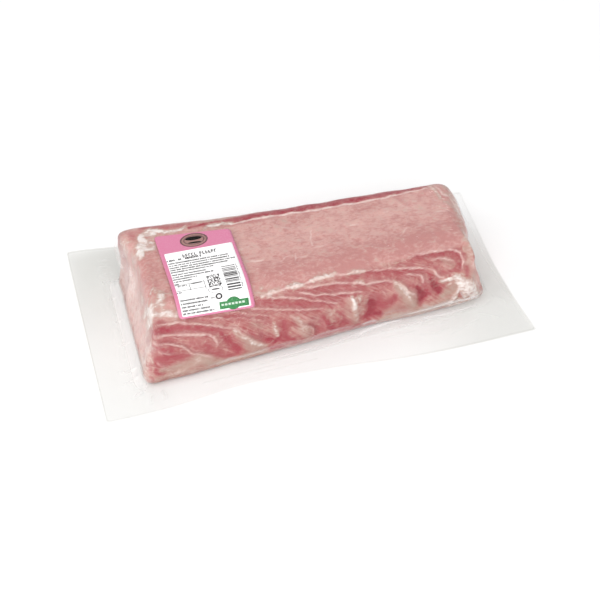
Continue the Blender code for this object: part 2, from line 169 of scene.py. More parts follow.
# Edges of the muscle leaves on the trimmed side: rim half width, paleness of the rim, partly a
# painted glint, painted shade above it and redness below it, how far that redness reaches, then
# places along and up.
LEAF_EDGES = [
    (0.7, 0.75, 0.45, 0.55, 5.0, [
        (-147, 61.8), (-138, 61.6), (-130, 60.8), (-122, 59.4), (-115.4, 56.9), (-109, 55.3),
        (-100.5, 52.6), (-91.2, 49.5), (-84.1, 46.4), (-77.1, 43.4), (-72.4, 42), (-70, 40.1),
        (-66.2, 35.8), (-62.3, 31.9), (-57.6, 26.4), (-52.1, 21.8), (-47.5, 18), (-44, 16.4)]),
    (0.8, 0.85, 0.5, 0.3, 3.0, [
        (-146, 51.5), (-140.4, 52.6), (-136.5, 51.8), (-131.8, 51.6), (-127.9, 50.7),
        (-122.4, 49.5), (-118.5, 48.7), (-112.3, 47.1), (-106, 45.6), (-100.5, 44),
        (-95.8, 42.8), (-92.7, 40.5), (-90.4, 39.3), (-88.8, 36.6), (-88.4, 32.7),
        (-87.3, 29.6), (-86, 27)]),
    (0.5, 0.6, 0.3, 0.5, 3.0, [
        (-147, 38.4), (-143, 38.2), (-139, 37.6), (-136, 36), (-131, 34), (-125, 32.5)]),
    (0.5, 0.5, 0.3, 0.4, 3.0, [
        (-147, 29), (-142, 27), (-137, 23), (-133, 19), (-127, 16)]),
    (0.8, 0.8, 0.8, 0.35, 3.0, [
        (-147, 46.4), (-143.5, 46), (-138.8, 45.2), (-133.3, 44.4), (-129.4, 43),
        (-126.3, 41.4), (-121.6, 39.7), (-118.5, 38.2), (-116.2, 35.4), (-114.6, 31.9),
        (-112.3, 29.2), (-109.1, 27.2), (-104.4, 26), (-100.5, 24.5), (-96.6, 22.1),
        (-92, 18.5)]),
    (0.4, 0.5, 0.4, 0.3, 3.0, [
        (-105, 58.9), (-96, 57), (-88, 54.8), (-79, 52), (-70, 49.8), (-62, 48.2),
        (-54.5, 45.6), (-48, 43), (-41, 40)]),
    (0.4, 0.5, 0.3, 0.4, 3.0, [
        (-78, 57.5), (-69, 54.8), (-60, 51), (-54.5, 49.5), (-49.8, 48.3), (-45.2, 46.8),
        (-40.5, 45.2), (-35, 43.2)]),
    (0.55, 0.65, 0.4, 0.4, 3.5, [
        (-60, 56.6), (-53, 54.6), (-47.5, 52.6), (-42, 51), (-37.3, 49.9), (-31.9, 48.5),
        (-28.8, 47.9), (-24, 46.8), (-19.4, 45.2), (-13.1, 43.6), (-6.9, 42.1), (-0.6, 40.5),
        (4.8, 38.9), (10.3, 37.4)]),
    (0.6, 0.8, 0.3, 0.6, 4.5, [
        (-46.3, 62), (-41.2, 60.4), (-36.6, 59.2), (-31.9, 58.1), (-26.4, 56.9), (-20.9, 55.3),
        (-16.2, 54.2), (-12.3, 52.2), (-8.4, 51), (-3.8, 49.1), (1.7, 47.5), (5.6, 45.6),
        (10.3, 43.6), (15, 42.5), (19.7, 41.3), (26, 40)]),
    (0.6, 0.8, 0.4, 0.6, 4.0, [
        (-16.2, 58.1), (-11.6, 56.9), (-6.9, 55.3), (-2.2, 54.6), (2.5, 52.6), (7.2, 51.4),
        (11.9, 50.7), (16.6, 49.9), (21.2, 48.7), (25.9, 47.7), (30.6, 46.8), (36.9, 45.8),
        (43.1, 44.8), (49.4, 43.6)]),
    (0.7, 0.8, 0.3, 0.65, 4.5, [
        (-8.4, 61.6), (-3.8, 60.4), (1.7, 59.4), (7.2, 58.9), (11.9, 58.5), (18.1, 57.8),
        (22.8, 57.3), (27.5, 56.5), (32.2, 55.3), (36.9, 54.4), (40.8, 53.8), (45, 52),
        (49.4, 50.6), (56, 50.3), (61.4, 49.8), (65.9, 48.9), (70.4, 47.6), (74.8, 46.2),
        (78.4, 45.6)]),
    (0.6, 0.85, 0.2, 0.75, 6.0, [
        (30, 63.5), (38, 62.8), (43.6, 62.3), (48, 61), (54.3, 60.5), (59.8, 60.1), (65.9, 59.2),
        (72.1, 58), (78.4, 56.8), (84.6, 55.6), (90, 54.7), (95.4, 53.4), (100.7, 51.6),
        (105.2, 50.3), (108.8, 49.8)]),
    (0.9, 0.9, 0.3, 0.3, 3.0, [
        (108.8, 52), (111.4, 48), (113.2, 44.5), (115, 41.3), (117.3, 38.9), (121.2, 38.2),
        (124.4, 37.3), (127, 36.4)]),
    (0.6, 0.8, 0.1, 0.85, 5.0, [
        (90, 62.4), (96, 63.6), (99, 64.1), (104.3, 63.7), (110.5, 63.2), (116.8, 62.8),
        (122.1, 62.3), (127.5, 61.6), (132.9, 60.1), (136.4, 58.7), (139.1, 56.1), (140.4, 52.5),
        (140.4, 48.9), (139.1, 45.4), (138.2, 41.8), (137.8, 38.5)]),
    (0.6, 0.85, 0.2, 0.3, 2.0, [
        (110.5, 57.8), (114.1, 56), (118.6, 56.5), (122.1, 55.2), (125.7, 53.4), (129.3, 51.6),
        (132.9, 49.8), (134, 46)]),
    (0.6, 0.7, 0.4, 0.3, 3.0, [
        (81, 50.7), (86.4, 49.4), (91.8, 48.5), (97.1, 46.7), (99.8, 45.4), (100.7, 42.7),
        (101.6, 39.1), (102.9, 36.4), (104.3, 32.9)]),
    (0.4, 0.6, 0.3, 0.3, 2.0, [(81.5, 48.9), (84.6, 46.2), (88.2, 44.5), (90.9, 43.1)]),
    (0.7, 0.8, 0.6, 0.1, 2.0, [
        (74.8, 46.6), (78.4, 45.8), (80.2, 42.7), (82.9, 39.1), (85.5, 35.5), (88.2, 32.9),
        (91.8, 30.6), (93.6, 28.4), (94.5, 23.9)]),
    (0.5, 0.45, 0.3, 0.2, 2.0, [
        (59.2, 44.5), (61.4, 42.7), (63.2, 40), (65, 36.4), (66.8, 32.9)]),
    (0.7, 0.8, 0.6, 0.1, 2.0, [
        (-26, 41.5), (-22.5, 38.9), (-19.4, 36.6), (-16.2, 33.9), (-13.5, 33.1)]),
    (0.6, 0.5, 0.7, 0.0, 2.0, [
        (-19, 31.5), (-13.1, 29.6), (-8.4, 26.4), (-5.3, 24.1), (-3, 21), (-2.6, 16.3),
        (-3, 11.6)]),
]

# Strokes of fat, strength first, then places along, up and half width.
FAT_STROKES = [
    (0.88, [(-140, 71, 2.2), (-133, 69.8, 3), (-121, 67.2, 2.8), (-112, 65.6, 1.8)]),
    (0.95, [(-145, 92, 1), (-140, 91, 1.2), (-135.4, 88.6, 1.3), (-130, 87, 1.6)]),
    (1.08, [(-127.5, 86, 3), (-129, 81.5, 3.8), (-132, 77.5, 3), (-134.6, 75.6, 1.4)]),
    (1.20, [(-143.5, 88, 2), (-140.5, 79, 2.8), (-140.5, 72, 3.2), (-143.5, 66, 2.2)]),
    (1.30, [(-129, 166.5, 4), (-131, 160, 6), (-132.5, 153, 6), (-133.5, 147, 4)]),
    (1.35, [(-130, 164, 2), (-131.5, 157, 3.4), (-133, 150, 2.4)]),
    (1.10, [(-129, 164, 3), (-123, 167, 3.6), (-118, 164, 2.6)]),
    (1.10, [(-131, 150, 3), (-126, 147.5, 3), (-121, 149.5, 2.4)]),
    (0.60, [(-125, 161, 5), (-124, 153, 5)]),
    (0.60, [(-140, 148, 1), (-143, 138, 1.4), (-144, 120, 1.2), (-144, 100, 1)]),
    (0.35, [(-146, 66, 1.6), (-147.5, 54, 1.2), (-150, 38.5, 1.2), (-151, 26, 1.2)]),
    (0.80, [(-147.5, 35, 0.5), (-145.5, 29, 0.8), (-144.5, 23, 0.8), (-146, 17, 1)]),
    (0.45, [(-120, 15.5, 1.6), (-112, 17, 2.4), (-104, 22, 2.6)]),
    (0.80, [(-135, 14, 1.2), (-128, 13.5, 2.2), (-120, 14.5, 1.8)]),
    (0.95, [(-73, 40.5, 0.6), (-68, 35.6, 1.2), (-63, 30, 1.5), (-58, 24, 1.6), (-52, 19.5, 1.6),
            (-46, 16.5, 1)]),
    (0.60, [(-15.5, 35, 1), (-13, 30, 2), (-10.5, 24, 3), (-9.5, 18, 2.6)]),
    (1.15, [(33, 42.5, 1), (35, 40.6, 2), (36, 37, 2.4), (36, 33, 2)]),
    (0.60, [(35.5, 37, 2.4), (36.6, 31, 2.6), (37, 25, 2.4), (38, 18, 1.8)]),
    (0.85, [(39.5, 41.8, 0.8), (41.5, 39, 0.8), (42.5, 36, 0.6)]),
    (0.75, [(44, 40.5, 0.5), (47.5, 38, 0.7), (49, 34.5, 0.4)]),
    (0.65, [(41, 36, 0.4), (45, 35, 0.6), (47, 31.5, 0.4)]),
    (0.95, [(74.7, 47, 0.8), (78, 44, 1.4), (80, 39.5, 1.6), (84, 34, 1.6), (87.5, 29, 1.6),
            (89, 25, 1.2)]),
    (0.40, [(88, 8, 1), (100, 13, 2.4), (114, 14, 2.6), (126, 15, 2.4)]),
    (0.75, [(124.5, 31, 1), (127.5, 33.4, 1.6), (130, 35, 1.4)]),
    (1.15, [(120, 35.5, 0.8), (126, 37, 1.4), (131, 37.5, 2.2), (137, 32, 3.6), (142, 27, 6),
            (146, 21, 6), (149.5, 14, 4)]),
    (1.00, [(131, 36, 1.6), (135, 30, 3), (139, 22, 3.4), (142, 15, 2.6)]),
    (1.05, [(135, 27, 1.8), (131, 19, 2.4), (128.5, 11, 2.2), (127, 6, 1.4)]),
    (1.15, [(145, 20, 4), (150, 14, 5), (153, 9, 4.5), (155, 4, 3)]),
    (1.00, [(126, 6, 1.6), (137, 9, 4), (147, 8, 4.4), (154, 6, 3.4)]),
    (0.45, [(138, 13, 3), (144, 9, 3)]),
    (1.20, [(-20, 64.8, 1.4), (-14.5, 64.4, 2.6), (-8, 63.8, 1.2)]),
    (1.10, [(0, 65.4, 0.8), (7, 66, 2), (13, 66, 1.8), (22, 66, 0.6)]),
    (0.70, [(-49, 67.4, 0.9), (-45, 67, 0.9), (-42, 70.2, 1.1)]),
    (0.80, [(-45, 63.4, 1.8), (-37, 64.8, 2.4), (-30, 65, 1.2)]),
    (0.95, [(34, 62.8, 0.8), (42, 62.8, 1.5), (48, 61.6, 0.8)]),
    (0.60, [(40, 55.2, 1.1), (46, 52.6, 0.9)]),
    (0.50, [(78, 61.6, 0.4), (85, 62, 0.8), (92, 62.6, 0.4)]),
    (0.55, [(142.7, 59.2, 0.8), (146.2, 56.1, 0.9), (147.1, 50.7, 0.9), (145.8, 45.4, 0.7)]),
    (0.95, [(-37.8, 36.4, 0.9), (-37.3, 32.7, 1.3), (-36.6, 28, 1.3), (-35, 23, 0.9)]),
    (0.60, [(12.4, 36.4, 0.9), (16, 35, 1), (18, 33.6, 0.5)]),
    (0.45, [(12.7, 35.8, 1.2), (13, 29.6, 1.4), (14.3, 23.3, 1.2)]),
    (0.40, [(19.7, 31.9, 0.5), (22, 28, 0.7), (23.6, 24.1, 0.5)]),
    (0.45, [(-144, 40, 1.4), (-139, 38.8, 0.9)]),
    (1.20, [(-121, 170.5, 1.2), (-115, 168, 1.8), (-110, 164.6, 1.8), (-103, 162.8, 1.8),
            (-96, 162.5, 1.6), (-90, 164.5, 1)]),
    (1.20, [(-76, 157.5, 0.8), (-67, 160, 1.8), (-58, 160, 1.8), (-50, 157, 1.2)]),
    (0.60, [(-82, 168, 1.2), (-68, 168.5, 1.6), (-54, 167, 1.4), (-40, 166, 0.8)]),
    (0.60, [(-144, 182, 2), (-139, 177, 2), (-136, 172, 2)]),
    (0.50, [(-143, 165, 2), (-139, 158, 1.6)]),
    (0.45, [(-20, 156, 0.5), (-10, 150.5, 0.5), (-2, 143, 0.4)]),
    (0.80, [(136, 147, 0.7), (136.8, 139, 1), (137.4, 131, 1.1), (138, 123.5, 0.9)]),
    (0.75, [(138, 124, 0.7), (142, 125.5, 0.8), (145.5, 119, 0.8)]),
    (0.65, [(145.5, 142, 1.2), (147, 130, 1.6), (147.5, 118, 1.8), (148, 108, 1.4)]),
]

# Milky strands of the drawn film where it bridges from the meat's foot, partly painted glints:
# haze, then places along and up, and half width.
STRAND_GLINTS = [
    (0.55, [(-98, 12, 0.8), (-72, 12.4, 1), (-48, 12, 0.8)]),
    (0.45, [(-48, 12.5, 0.7), (-25, 13, 0.9), (-6, 12, 0.6)]),
    (0.60, [(-4, 12, 0.7), (12, 13, 0.9), (34, 12.5, 0.7)]),
    (0.90, [(40, 9, 0.6), (46, 11.5, 0.9), (52, 12, 0.8), (57, 10.5, 0.5)]),
    (1.15, [(60, 7, 1.4), (75, 8, 2.4), (90, 9, 3), (108, 9.5, 3.4), (125, 10, 4), (140, 10, 3.4),
            (150, 10, 3.4), (160, 9, 3)]),
    (0.80, [(80, 8.5, 0.6), (94, 10, 0.8), (108, 9.5, 0.6)]),
    (0.30, [(62, 16, 0.4), (72, 18, 0.6), (82, 17, 0.5), (90, 14.5, 0.4)]),
    (0.45, [(66, 12.5, 0.4), (80, 14, 0.5), (92, 12.5, 0.4)]),
    (0.45, [(100, 17, 0.5), (106, 14, 0.8), (112, 12, 0.6)]),
    (0.80, [(112, 12, 0.7), (125, 14, 1), (138, 12.5, 1)]),
    (0.70, [(136, 22, 0.5), (139, 16, 0.8), (141, 12, 0.6)]),
    (0.50, [(148, 30, 0.6), (153, 22, 0.9), (157, 14, 0.8)]),
]

# Strokes of thin beige tissue and soft fat, smooth and without flecks, like the fat strokes.
TISSUE_STROKES = [
    (0.90, [(-138, 20, 1.2), (-130, 17.5, 3), (-122, 18.5, 4.4), (-113, 19.5, 4.6), (-105, 21, 5),
            (-99, 17, 4.4), (-91, 13, 3.6), (-82, 10, 3), (-71, 9.4, 2.6), (-62, 11, 2.8),
            (-54, 11, 2.4), (-46, 9, 1.6)]),
    (0.60, [(-140, 12, 2), (-128, 11, 2.6), (-112, 11, 3), (-98, 9, 2.6)]),
    (0.75, [(-72, 39, 0.8), (-68, 34.5, 2), (-63, 28, 4), (-60, 21, 5), (-53, 17, 4),
            (-46, 15, 2)]),
    (0.40, [(-17, 34, 2), (-13, 29, 3.4), (-10, 22, 4.4), (-7, 15, 4)]),
    (0.30, [(11, 36, 1.8), (14, 30, 2.4), (16, 24, 2)]),
    (0.50, [(-58, 42, 1.4), (-53, 40, 2), (-49, 37, 1.4)]),
    (0.45, [(30, 40, 2), (31, 34, 3.4), (34, 25, 4), (36, 16, 3)]),
    (0.80, [(76, 42, 1.4), (80, 37, 3), (85, 30, 4.6), (88, 24, 5), (91, 17, 4.4)]),
    (0.45, [(66, 17, 2), (76, 19, 4), (86, 20, 4)]),
    (0.95, [(58, 8, 1.4), (66, 11, 2.4), (80, 11, 3.4), (96, 10.5, 3.8), (112, 10, 4),
            (127, 12, 4.6), (138, 9, 4)]),
    (0.95, [(119, 21, 2), (124, 24, 4), (129, 27, 4), (132, 32, 2.4)]),
    (0.35, [(121, 54, 1.6), (127, 51, 2.2), (131, 47, 1.8)]),
    (0.45, [(146, 58, 1.8), (148, 50, 2.4), (149, 40, 2.4), (150, 28, 2.4)]),
]

# Thin pale streaks and flecks in the smooth muscle, partly painted glints.
STREAKS_AND_GLINTS = [
    (0.95, [(-50, 155.5, 0.6), (-40, 156, 0.8), (-30, 156.5, 0.8), (-20, 155, 0.9),
            (-8, 153.4, 0.9), (0, 152.4, 1), (12, 151.6, 1.1), (22, 149.8, 1.1), (32, 148, 1.1),
            (46, 146.4, 0.8), (60, 144.8, 1), (75, 143.4, 0.9), (90, 142.6, 0.8),
            (110, 142, 0.6), (130, 142, 0.5)]),
    (0.60, [(-46, 62.4, 0.5), (-34, 63.4, 0.7), (-22, 64, 0.7), (-8, 63.6, 0.8), (2, 64.8, 0.8),
            (14, 65.4, 0.8), (24, 65, 0.7), (34, 63, 0.7)]),
    (0.80, [(131, 149, 0.6), (135, 143, 0.8), (137.5, 136, 0.9), (141, 131, 0.7)]),
    (0.60, [(138, 146, 0.5), (144, 139, 0.8), (148, 128, 0.8), (150, 116, 0.6)]),
    (0.55, [(17, 123.5, 0.35), (15, 117.5, 0.4), (13.4, 110, 0.4), (12.6, 104, 0.4)]),
    (0.35, [(12.6, 101, 0.35), (20, 100, 0.4), (28, 100.6, 0.3)]),
    (0.90, [(-45, 102, 0.4), (-40, 100.4, 0.9), (-34, 99.6, 0.5)]),
    (0.45, [(-5, 98, 0.3), (-6.4, 94, 0.5), (-8.4, 90, 0.3)]),
    (0.40, [(-7, 94, 0.3), (-1, 92.6, 0.4), (4, 92, 0.25)]),
    (0.40, [(-22, 93, 0.25), (-16, 96, 0.4), (-11, 97.6, 0.25)]),
    (0.50, [(90, 88.5, 0.3), (95, 92.5, 0.45), (100, 96.6, 0.3)]),
    (0.50, [(52, 117.4, 0.4), (57, 116.6, 0.6), (61, 116.6, 0.3)]),
    (0.40, [(86, 123.6, 0.3), (90, 122.8, 0.5)]),
    (0.35, [(60, 75.5, 0.5), (65, 74.5, 0.4)]),
    (0.35, [(-8, 135.6, 0.35), (-3, 133.6, 0.45), (1, 133, 0.3)]),
    (0.35, [(-52, 118, 0.4), (-47, 121, 0.6), (-42, 122, 0.3)]),
    (0.30, [(104, 128, 0.4), (110, 122, 0.5), (114, 121, 0.3)]),
    (0.35, [(132, 108, 0.5), (140, 106, 0.7), (146, 105, 0.5)]),
    (0.35, [(30, 86, 0.3), (36, 84, 0.4)]),
]

# Strokes of deep red, strength first, then places along, up and half width.
DEEP_STROKES = [
    (0.95, [(-142, 56.6, 3), (-136, 56.5, 3.2), (-128, 55.4, 2.8), (-115, 52.6, 2.6),
            (-100, 49, 2.4), (-92, 46, 2.4), (-86, 43.4, 2.2)]),
    (0.90, [(-144, 41, 1.6), (-136, 39, 2.4), (-128, 36, 2.4)]),
    (0.55, [(-76, 38, 1.4), (-73, 34, 1.8), (-71, 30, 1.6)]),
    (0.85, [(-144, 30, 2.4), (-138, 30, 3.4), (-130, 30, 4), (-120, 27, 3.4), (-112, 24, 2.4)]),
    (0.45, [(-108, 38, 5), (-100, 35, 5), (-94, 30, 4)]),
    (1.00, [(-84.5, 41, 1.6), (-81, 36, 2.8), (-77.5, 31, 3.2), (-74, 25, 3.4), (-71, 19, 3.2)]),
    (0.75, [(-98, 34, 2.2), (-95, 28, 3.2), (-91, 22, 3.4), (-85, 16.5, 3.2), (-77, 14.5, 2.6)]),
    (0.65, [(-138.4, 38, 0.9), (-134, 36, 1.3), (-127.5, 32.5, 1.1)]),
    (0.70, [(-144, 27, 4), (-132, 26, 4), (-120, 25, 3), (-114, 24, 2)]),
    (0.95, [(-144, 21, 1.4), (-140, 18, 2), (-136.5, 15.5, 1.8), (-133.5, 13, 1.1)]),
    (0.55, [(-145, 63.8, 1.2), (-139.5, 63.4, 1.6), (-134.5, 63, 0.8)]),
    (0.70, [(-108, 60.4, 0.8), (-99.8, 58.4, 1.1), (-88.8, 55.8, 1.3), (-77.1, 53, 1.5),
            (-65.4, 49.6, 1.4), (-52, 45.6, 1.1)]),
    (0.70, [(-143, 49.6, 1.2), (-139, 49, 1.4), (-133, 47.8, 1.4), (-125, 44.8, 1.2)]),
    (0.70, [(-50.6, 59.2, 1.8), (-39.7, 55.4, 2.2), (-30.3, 53, 2.2), (-19.4, 50.2, 2.2),
            (-8.4, 47, 2.1), (2.5, 44.2, 2), (9, 41.8, 1.8), (13.4, 39.6, 1.2)]),
    (0.55, [(-9, 58.8, 1), (-0.6, 56.6, 1.5), (5.6, 55.3, 1.7), (13.4, 54.2, 1.5),
            (22.8, 52, 1.5), (34.5, 50, 1.4), (46, 48.4, 1.4), (56, 47.4, 1.2)]),
    (0.50, [(5.6, 48.3, 1), (10.3, 46.6, 1.2), (18.9, 44.6, 1.1), (26.7, 43.4, 0.9)]),
    (0.70, [(50, 58, 1.3), (61.4, 56.4, 1.9), (72.1, 54.5, 2), (82.9, 52.6, 1.9),
            (93.6, 51.2, 1.7), (100.7, 49.6, 1.8), (105.2, 46.4, 2.2), (107.9, 43, 2.2),
            (110.5, 39, 2.2)]),
    (0.75, [(97, 62.4, 0.9), (104.3, 61.4, 1.6), (110.5, 60.3, 1.8), (121.2, 59.2, 1.8),
            (130.2, 57.8, 1.9), (135.5, 54.8, 1.6), (137.2, 50, 1.1)]),
    (1.20, [(49, 34, 1.6), (53, 29, 4.4), (55.5, 26, 5), (53, 22, 4.4), (48.5, 18, 3)]),
    (0.60, [(53, 38, 3), (59, 33, 4), (62, 28, 3)]),
    (1.35, [(96, 36, 1.6), (100, 30, 3.2), (102, 26, 3.2), (99, 22.5, 2.6)]),
    (1.35, [(108, 40, 1.6), (112, 34, 3), (116.5, 28, 3.2), (119, 24, 2)]),
    (0.60, [(86, 44, 1.4), (91, 39, 2.4), (96, 33, 2.4)]),
    (0.45, [(119, 29, 2.6), (122, 24.5, 2.6)]),
    (0.60, [(145, 43, 2), (142.5, 38.5, 2.2)]),
    (0.60, [(112.5, 54, 0.8), (115, 48.5, 1.1), (118, 44.5, 1.3), (123, 41.8, 1.4),
            (130, 41.6, 1.4), (134.5, 45, 1)]),
    (0.90, [(-29, 38, 1.4), (-28.6, 31, 2.4), (-27.5, 24.5, 3), (-25, 18, 2.6)]),
    (0.90, [(-36, 17, 1.6), (-28, 15.5, 2), (-20, 15, 2)]),
    (0.70, [(-49, 30, 1.6), (-46.5, 24.5, 2.8), (-44.5, 19, 2.4)]),
    (0.75, [(-60, 35, 0.9), (-57, 30.2, 1.2), (-52.6, 24.8, 1.3), (-47.4, 20, 1.4)]),
    (0.80, [(-14.5, 31, 1), (-8, 28.2, 1.3), (-3, 24.4, 1.6), (1, 20, 1.9), (3, 15.6, 1.8)]),
    (0.60, [(5.5, 29, 1.6), (7, 22.5, 2), (8, 16.5, 1.8)]),
    (0.65, [(17.5, 26, 1.6), (19, 21, 2.2), (17.4, 15.8, 2.2)]),
    (0.50, [(-2, 12.6, 1.4), (4, 13, 1.6), (11, 14, 1.6)]),
    # These two strokes along the foot's middle are a dark red line at the meat's bottom edge,
    # partly painted shade.
    (0.75, [(-62, 10, 1), (-48, 11.5, 2.2), (-34, 11, 2.4), (-20, 10, 2.2), (-14, 8, 2)]),
    (0.75, [(0, 10, 2.4), (14, 11, 2.8), (28, 11, 2.8), (40, 10, 2)]),
    (0.35, [(23.4, 39, 0.8), (25.4, 33, 1), (27, 27, 1)]),
    (0.40, [(62, 22, 2.6), (70, 21.5, 2.6), (77, 22, 1.8)]),
    (0.95, [(23, 17, 1.8), (27, 20, 2), (31, 15, 2)]),
    (1.00, [(9, 31, 2), (12.5, 25, 3.4), (14, 19, 4), (17, 13.5, 3)]),
    (0.70, [(21, 33, 2), (24, 28, 3), (26, 22, 2.4)]),
    (0.85, [(59, 31, 3), (64, 26, 4.4), (69, 28.5, 4), (73, 33, 2)]),
    (1.20, [(54, 19, 2.4), (62, 17, 2.6)]),
    (0.55, [(62, 14, 2), (70, 15, 2.4), (78, 17, 2)]),
    (1.10, [(-33, 25, 1.8), (-32, 20, 2.6), (-37, 17.5, 2.4), (-42, 22, 2.4)]),
    (0.95, [(102.5, 37, 1.4), (104.5, 32, 2), (107, 27, 1.8)]),
    (0.60, [(-134, 175, 1.6), (-129, 171.5, 1.8), (-123, 171, 1.2)]),
    (0.70, [(-122, 175, 3), (-106, 170.5, 3.6), (-94, 168.5, 3), (-86, 168, 2)]),
    (1.10, [(-86, 162.5, 1), (-76, 164, 1.8), (-68, 165, 1.6), (-58, 164, 1.6)]),
    (1.00, [(-72, 162, 3), (-50, 160.5, 5), (-30, 160.5, 5.6), (-12, 159.5, 6), (5, 159, 6),
            (22, 156, 6), (38, 154, 6), (56, 152, 6), (75, 150, 5.6)]),
    (0.95, [(75, 149.6, 5), (95, 148.2, 4.6), (115, 147.4, 4), (134, 147, 3.4)]),
    (1.10, [(128, 146, 0.7), (133, 144.6, 1.2), (138, 147, 0.8)]),
    (0.50, [(140.5, 140, 1), (141, 132, 1.4)]),
    (0.35, [(101, 142, 1), (105, 136, 1.8), (110, 127, 1.6)]),
    (0.30, [(120, 128, 1.2), (128, 138, 1.6), (134, 146, 1.4)]),
]

# Broad drifts of the smooth lean's tone, paler (+) or redder (-): place along and over the
# top, half sizes, amount.
TONES = [
    (-134, 118, 14, 34, -0.4),
    (-60, 78, 90, 16, -0.2),
    (40, 78, 90, 14, -0.35),
    (120, 80, 40, 16, -0.3),
    (40, 128, 120, 16, 0.15),
    (150, 105, 12, 30, -0.25),
    (-134, 80, 12, 14, 0.2),
    (74, 134, 14, 7, -0.4),
    (32, 66, 26, 5, -0.4),
    (8, 140, 16, 8, -0.3),
]

# Loose folds of the drawn film round the meat's foot and on the flange, seen from above:
# height, haze, then places in plan and half width.
PLAN_FOLDS = [
    (0.8, 0.5, [(-158, -52, 1.2), (-166, -54, 1.6), (-173, -52, 0.8)]),
    (0.8, 0.5, [(-158, -62, 1.0), (-165, -66, 1.4), (-171, -67, 0.8)]),
    (0.9, 0.6, [(-156, -76, 1.2), (-162, -82, 1.6), (-167, -85, 0.8)]),
    (0.7, 0.6, [(-149, -84, 1.2), (-151, -90, 1.2), (-152, -96, 0.6)]),
    (0.7, 0.5, [(-140, -82, 1.0), (-139, -89, 1.2), (-140, -94, 0.6)]),
    (0.5, 0.5, [(-158, 92, 1.0), (-163, 91, 1.0)]),
    (0.5, 0.5, [(-158, 84, 1.0), (-166, 83, 1.0)]),
    (0.5, 0.5, [(-158, 74, 1.0), (-168, 72, 1.0)]),
    (0.5, 0.5, [(-159, 64, 1.0), (-166, 63, 1.0)]),
    (0.5, 0.4, [(-159, 40, 1.0), (-165, 39, 1.0)]),
    (0.5, 0.4, [(-159, 10, 1.0), (-164, 9, 1.0)]),
    (0.5, 0.4, [(-158, -20, 1.0), (-166, -22, 1.0)]),
    (0.5, 0.3, [(95, -62, 1.0), (108, -64, 1.6), (120, -62, 0.8)]),
    (0.6, 0.3, [(92, -74, 1.0), (106, -76, 1.8), (118, -73, 0.8)]),
    (0.5, 0.3, [(58, -70, 0.8), (76, -71, 1.4), (88, -68, 0.8)]),
    (0.6, 0.3, [(120, -80, 0.8), (134, -74, 1.6), (147, -70, 0.8)]),
    (0.5, 0.3, [(150, -62, 0.8), (160, -68, 1.4), (167, -74, 0.8)]),
    (0.5, 0.3, [(170, -44, 0.8), (176, -50, 1.4), (180, -60, 0.8)]),
    (0.4, 0.3, [(-105, -81, 0.8), (-72, -79, 1.0), (-42, -77, 0.8)]),
    (0.4, 0.3, [(-60, -84, 0.8), (-30, -82, 1.0), (-4, -80, 0.8)]),
    (0.6, 0.6, [(-60, -72, 0.3), (-30, -69, 1.2), (0, -65.5, 0.2)]),
    (0.6, 0.6, [(-10, -69, 0.3), (14, -66, 1.0), (34, -63, 0.2)]),
    (0.7, 0.7, [(20, -64, 0.3), (42, -61, 1.2), (58, -58, 0.2)]),
    (0.9, 0.9, [(37, -64.5, 0.4), (44, -60.5, 0.9), (54, -58.6, 0.7), (66, -57, 0.5),
                (80, -55.5, 0.1)]),
    (0.6, 0.5, [(60, -63, 0.3), (84, -60, 1.0), (106, -57, 0.2)]),
    (0.6, 0.6, [(100, -55.5, 0.3), (124, -54.5, 1.2), (150, -52, 0.3)]),
    (0.5, 0.5, [(166, -38, 0.8), (169, -10, 1.0), (169, 20, 0.8)]),
    (0.45, 0.5, [(183.5, 95, 0.6), (181.5, 60, 0.6), (180.5, 20, 0.6), (182.5, -20, 0.6),
                 (185.5, -60, 0.6), (187.5, -88, 0.6)]),
]

# The label: corners of its sheet, white panel and green banner, placed along and up the meat, its
# height over the block, and how thick its sheets are.
LABEL_CORNERS = np.array([(-118.0, 61.0), (-52.0, 55.5), (-53.0, 147.5), (-120.0, 159.5)])
PANEL_CORNERS = np.array([(-114.9, 62.2), (-55.2, 57.4), (-55.6, 129.6), (-115.9, 134.2)])
BANNER_CORNERS = np.array([(-82.4, 60.6), (-57.0, 58.4), (-56.6, 64.4), (-82.0, 66.6)])
LABEL_CLEARANCE = 2.1
LABEL_THICKNESS = 0.22
PANEL_THICKNESS = 0.12
INK_THICKNESS = 0.1

# The header's badge: centre, half sizes of its outer and inner rings, turn in radians, and the
# centres and half sizes of its dark ovals.
BADGE_CENTRE = (-87.0, 143.6)
BADGE_HALF = (12.4, 8.7)
BADGE_INNER_HALF = (9.4, 5.9)
BADGE_TURN = -0.13
BADGE_OVALS = [((-87.0, 145.8), (7.4, 2.4)), ((-87.0, 140.2), (6.0, 1.0))]
# Marks at the foot of the label: an oval line with a bar in it, and a ring.
OVAL_CENTRE = (-82.3, 78.6)
OVAL_TURN = -0.1
RING_CENTRE = (-81.0, 71.6)
# Codes: sides, start and length of the bar code, corner of the square code and its dot's side.
BAR_CODE_SIDES = (-72.0, -60.2)
BAR_CODE_START = 76.4
BAR_CODE_LENGTH = 31.0
SQUARE_CODE_CORNER = (-87.0, 84.6)
CODE_DOT = 0.92
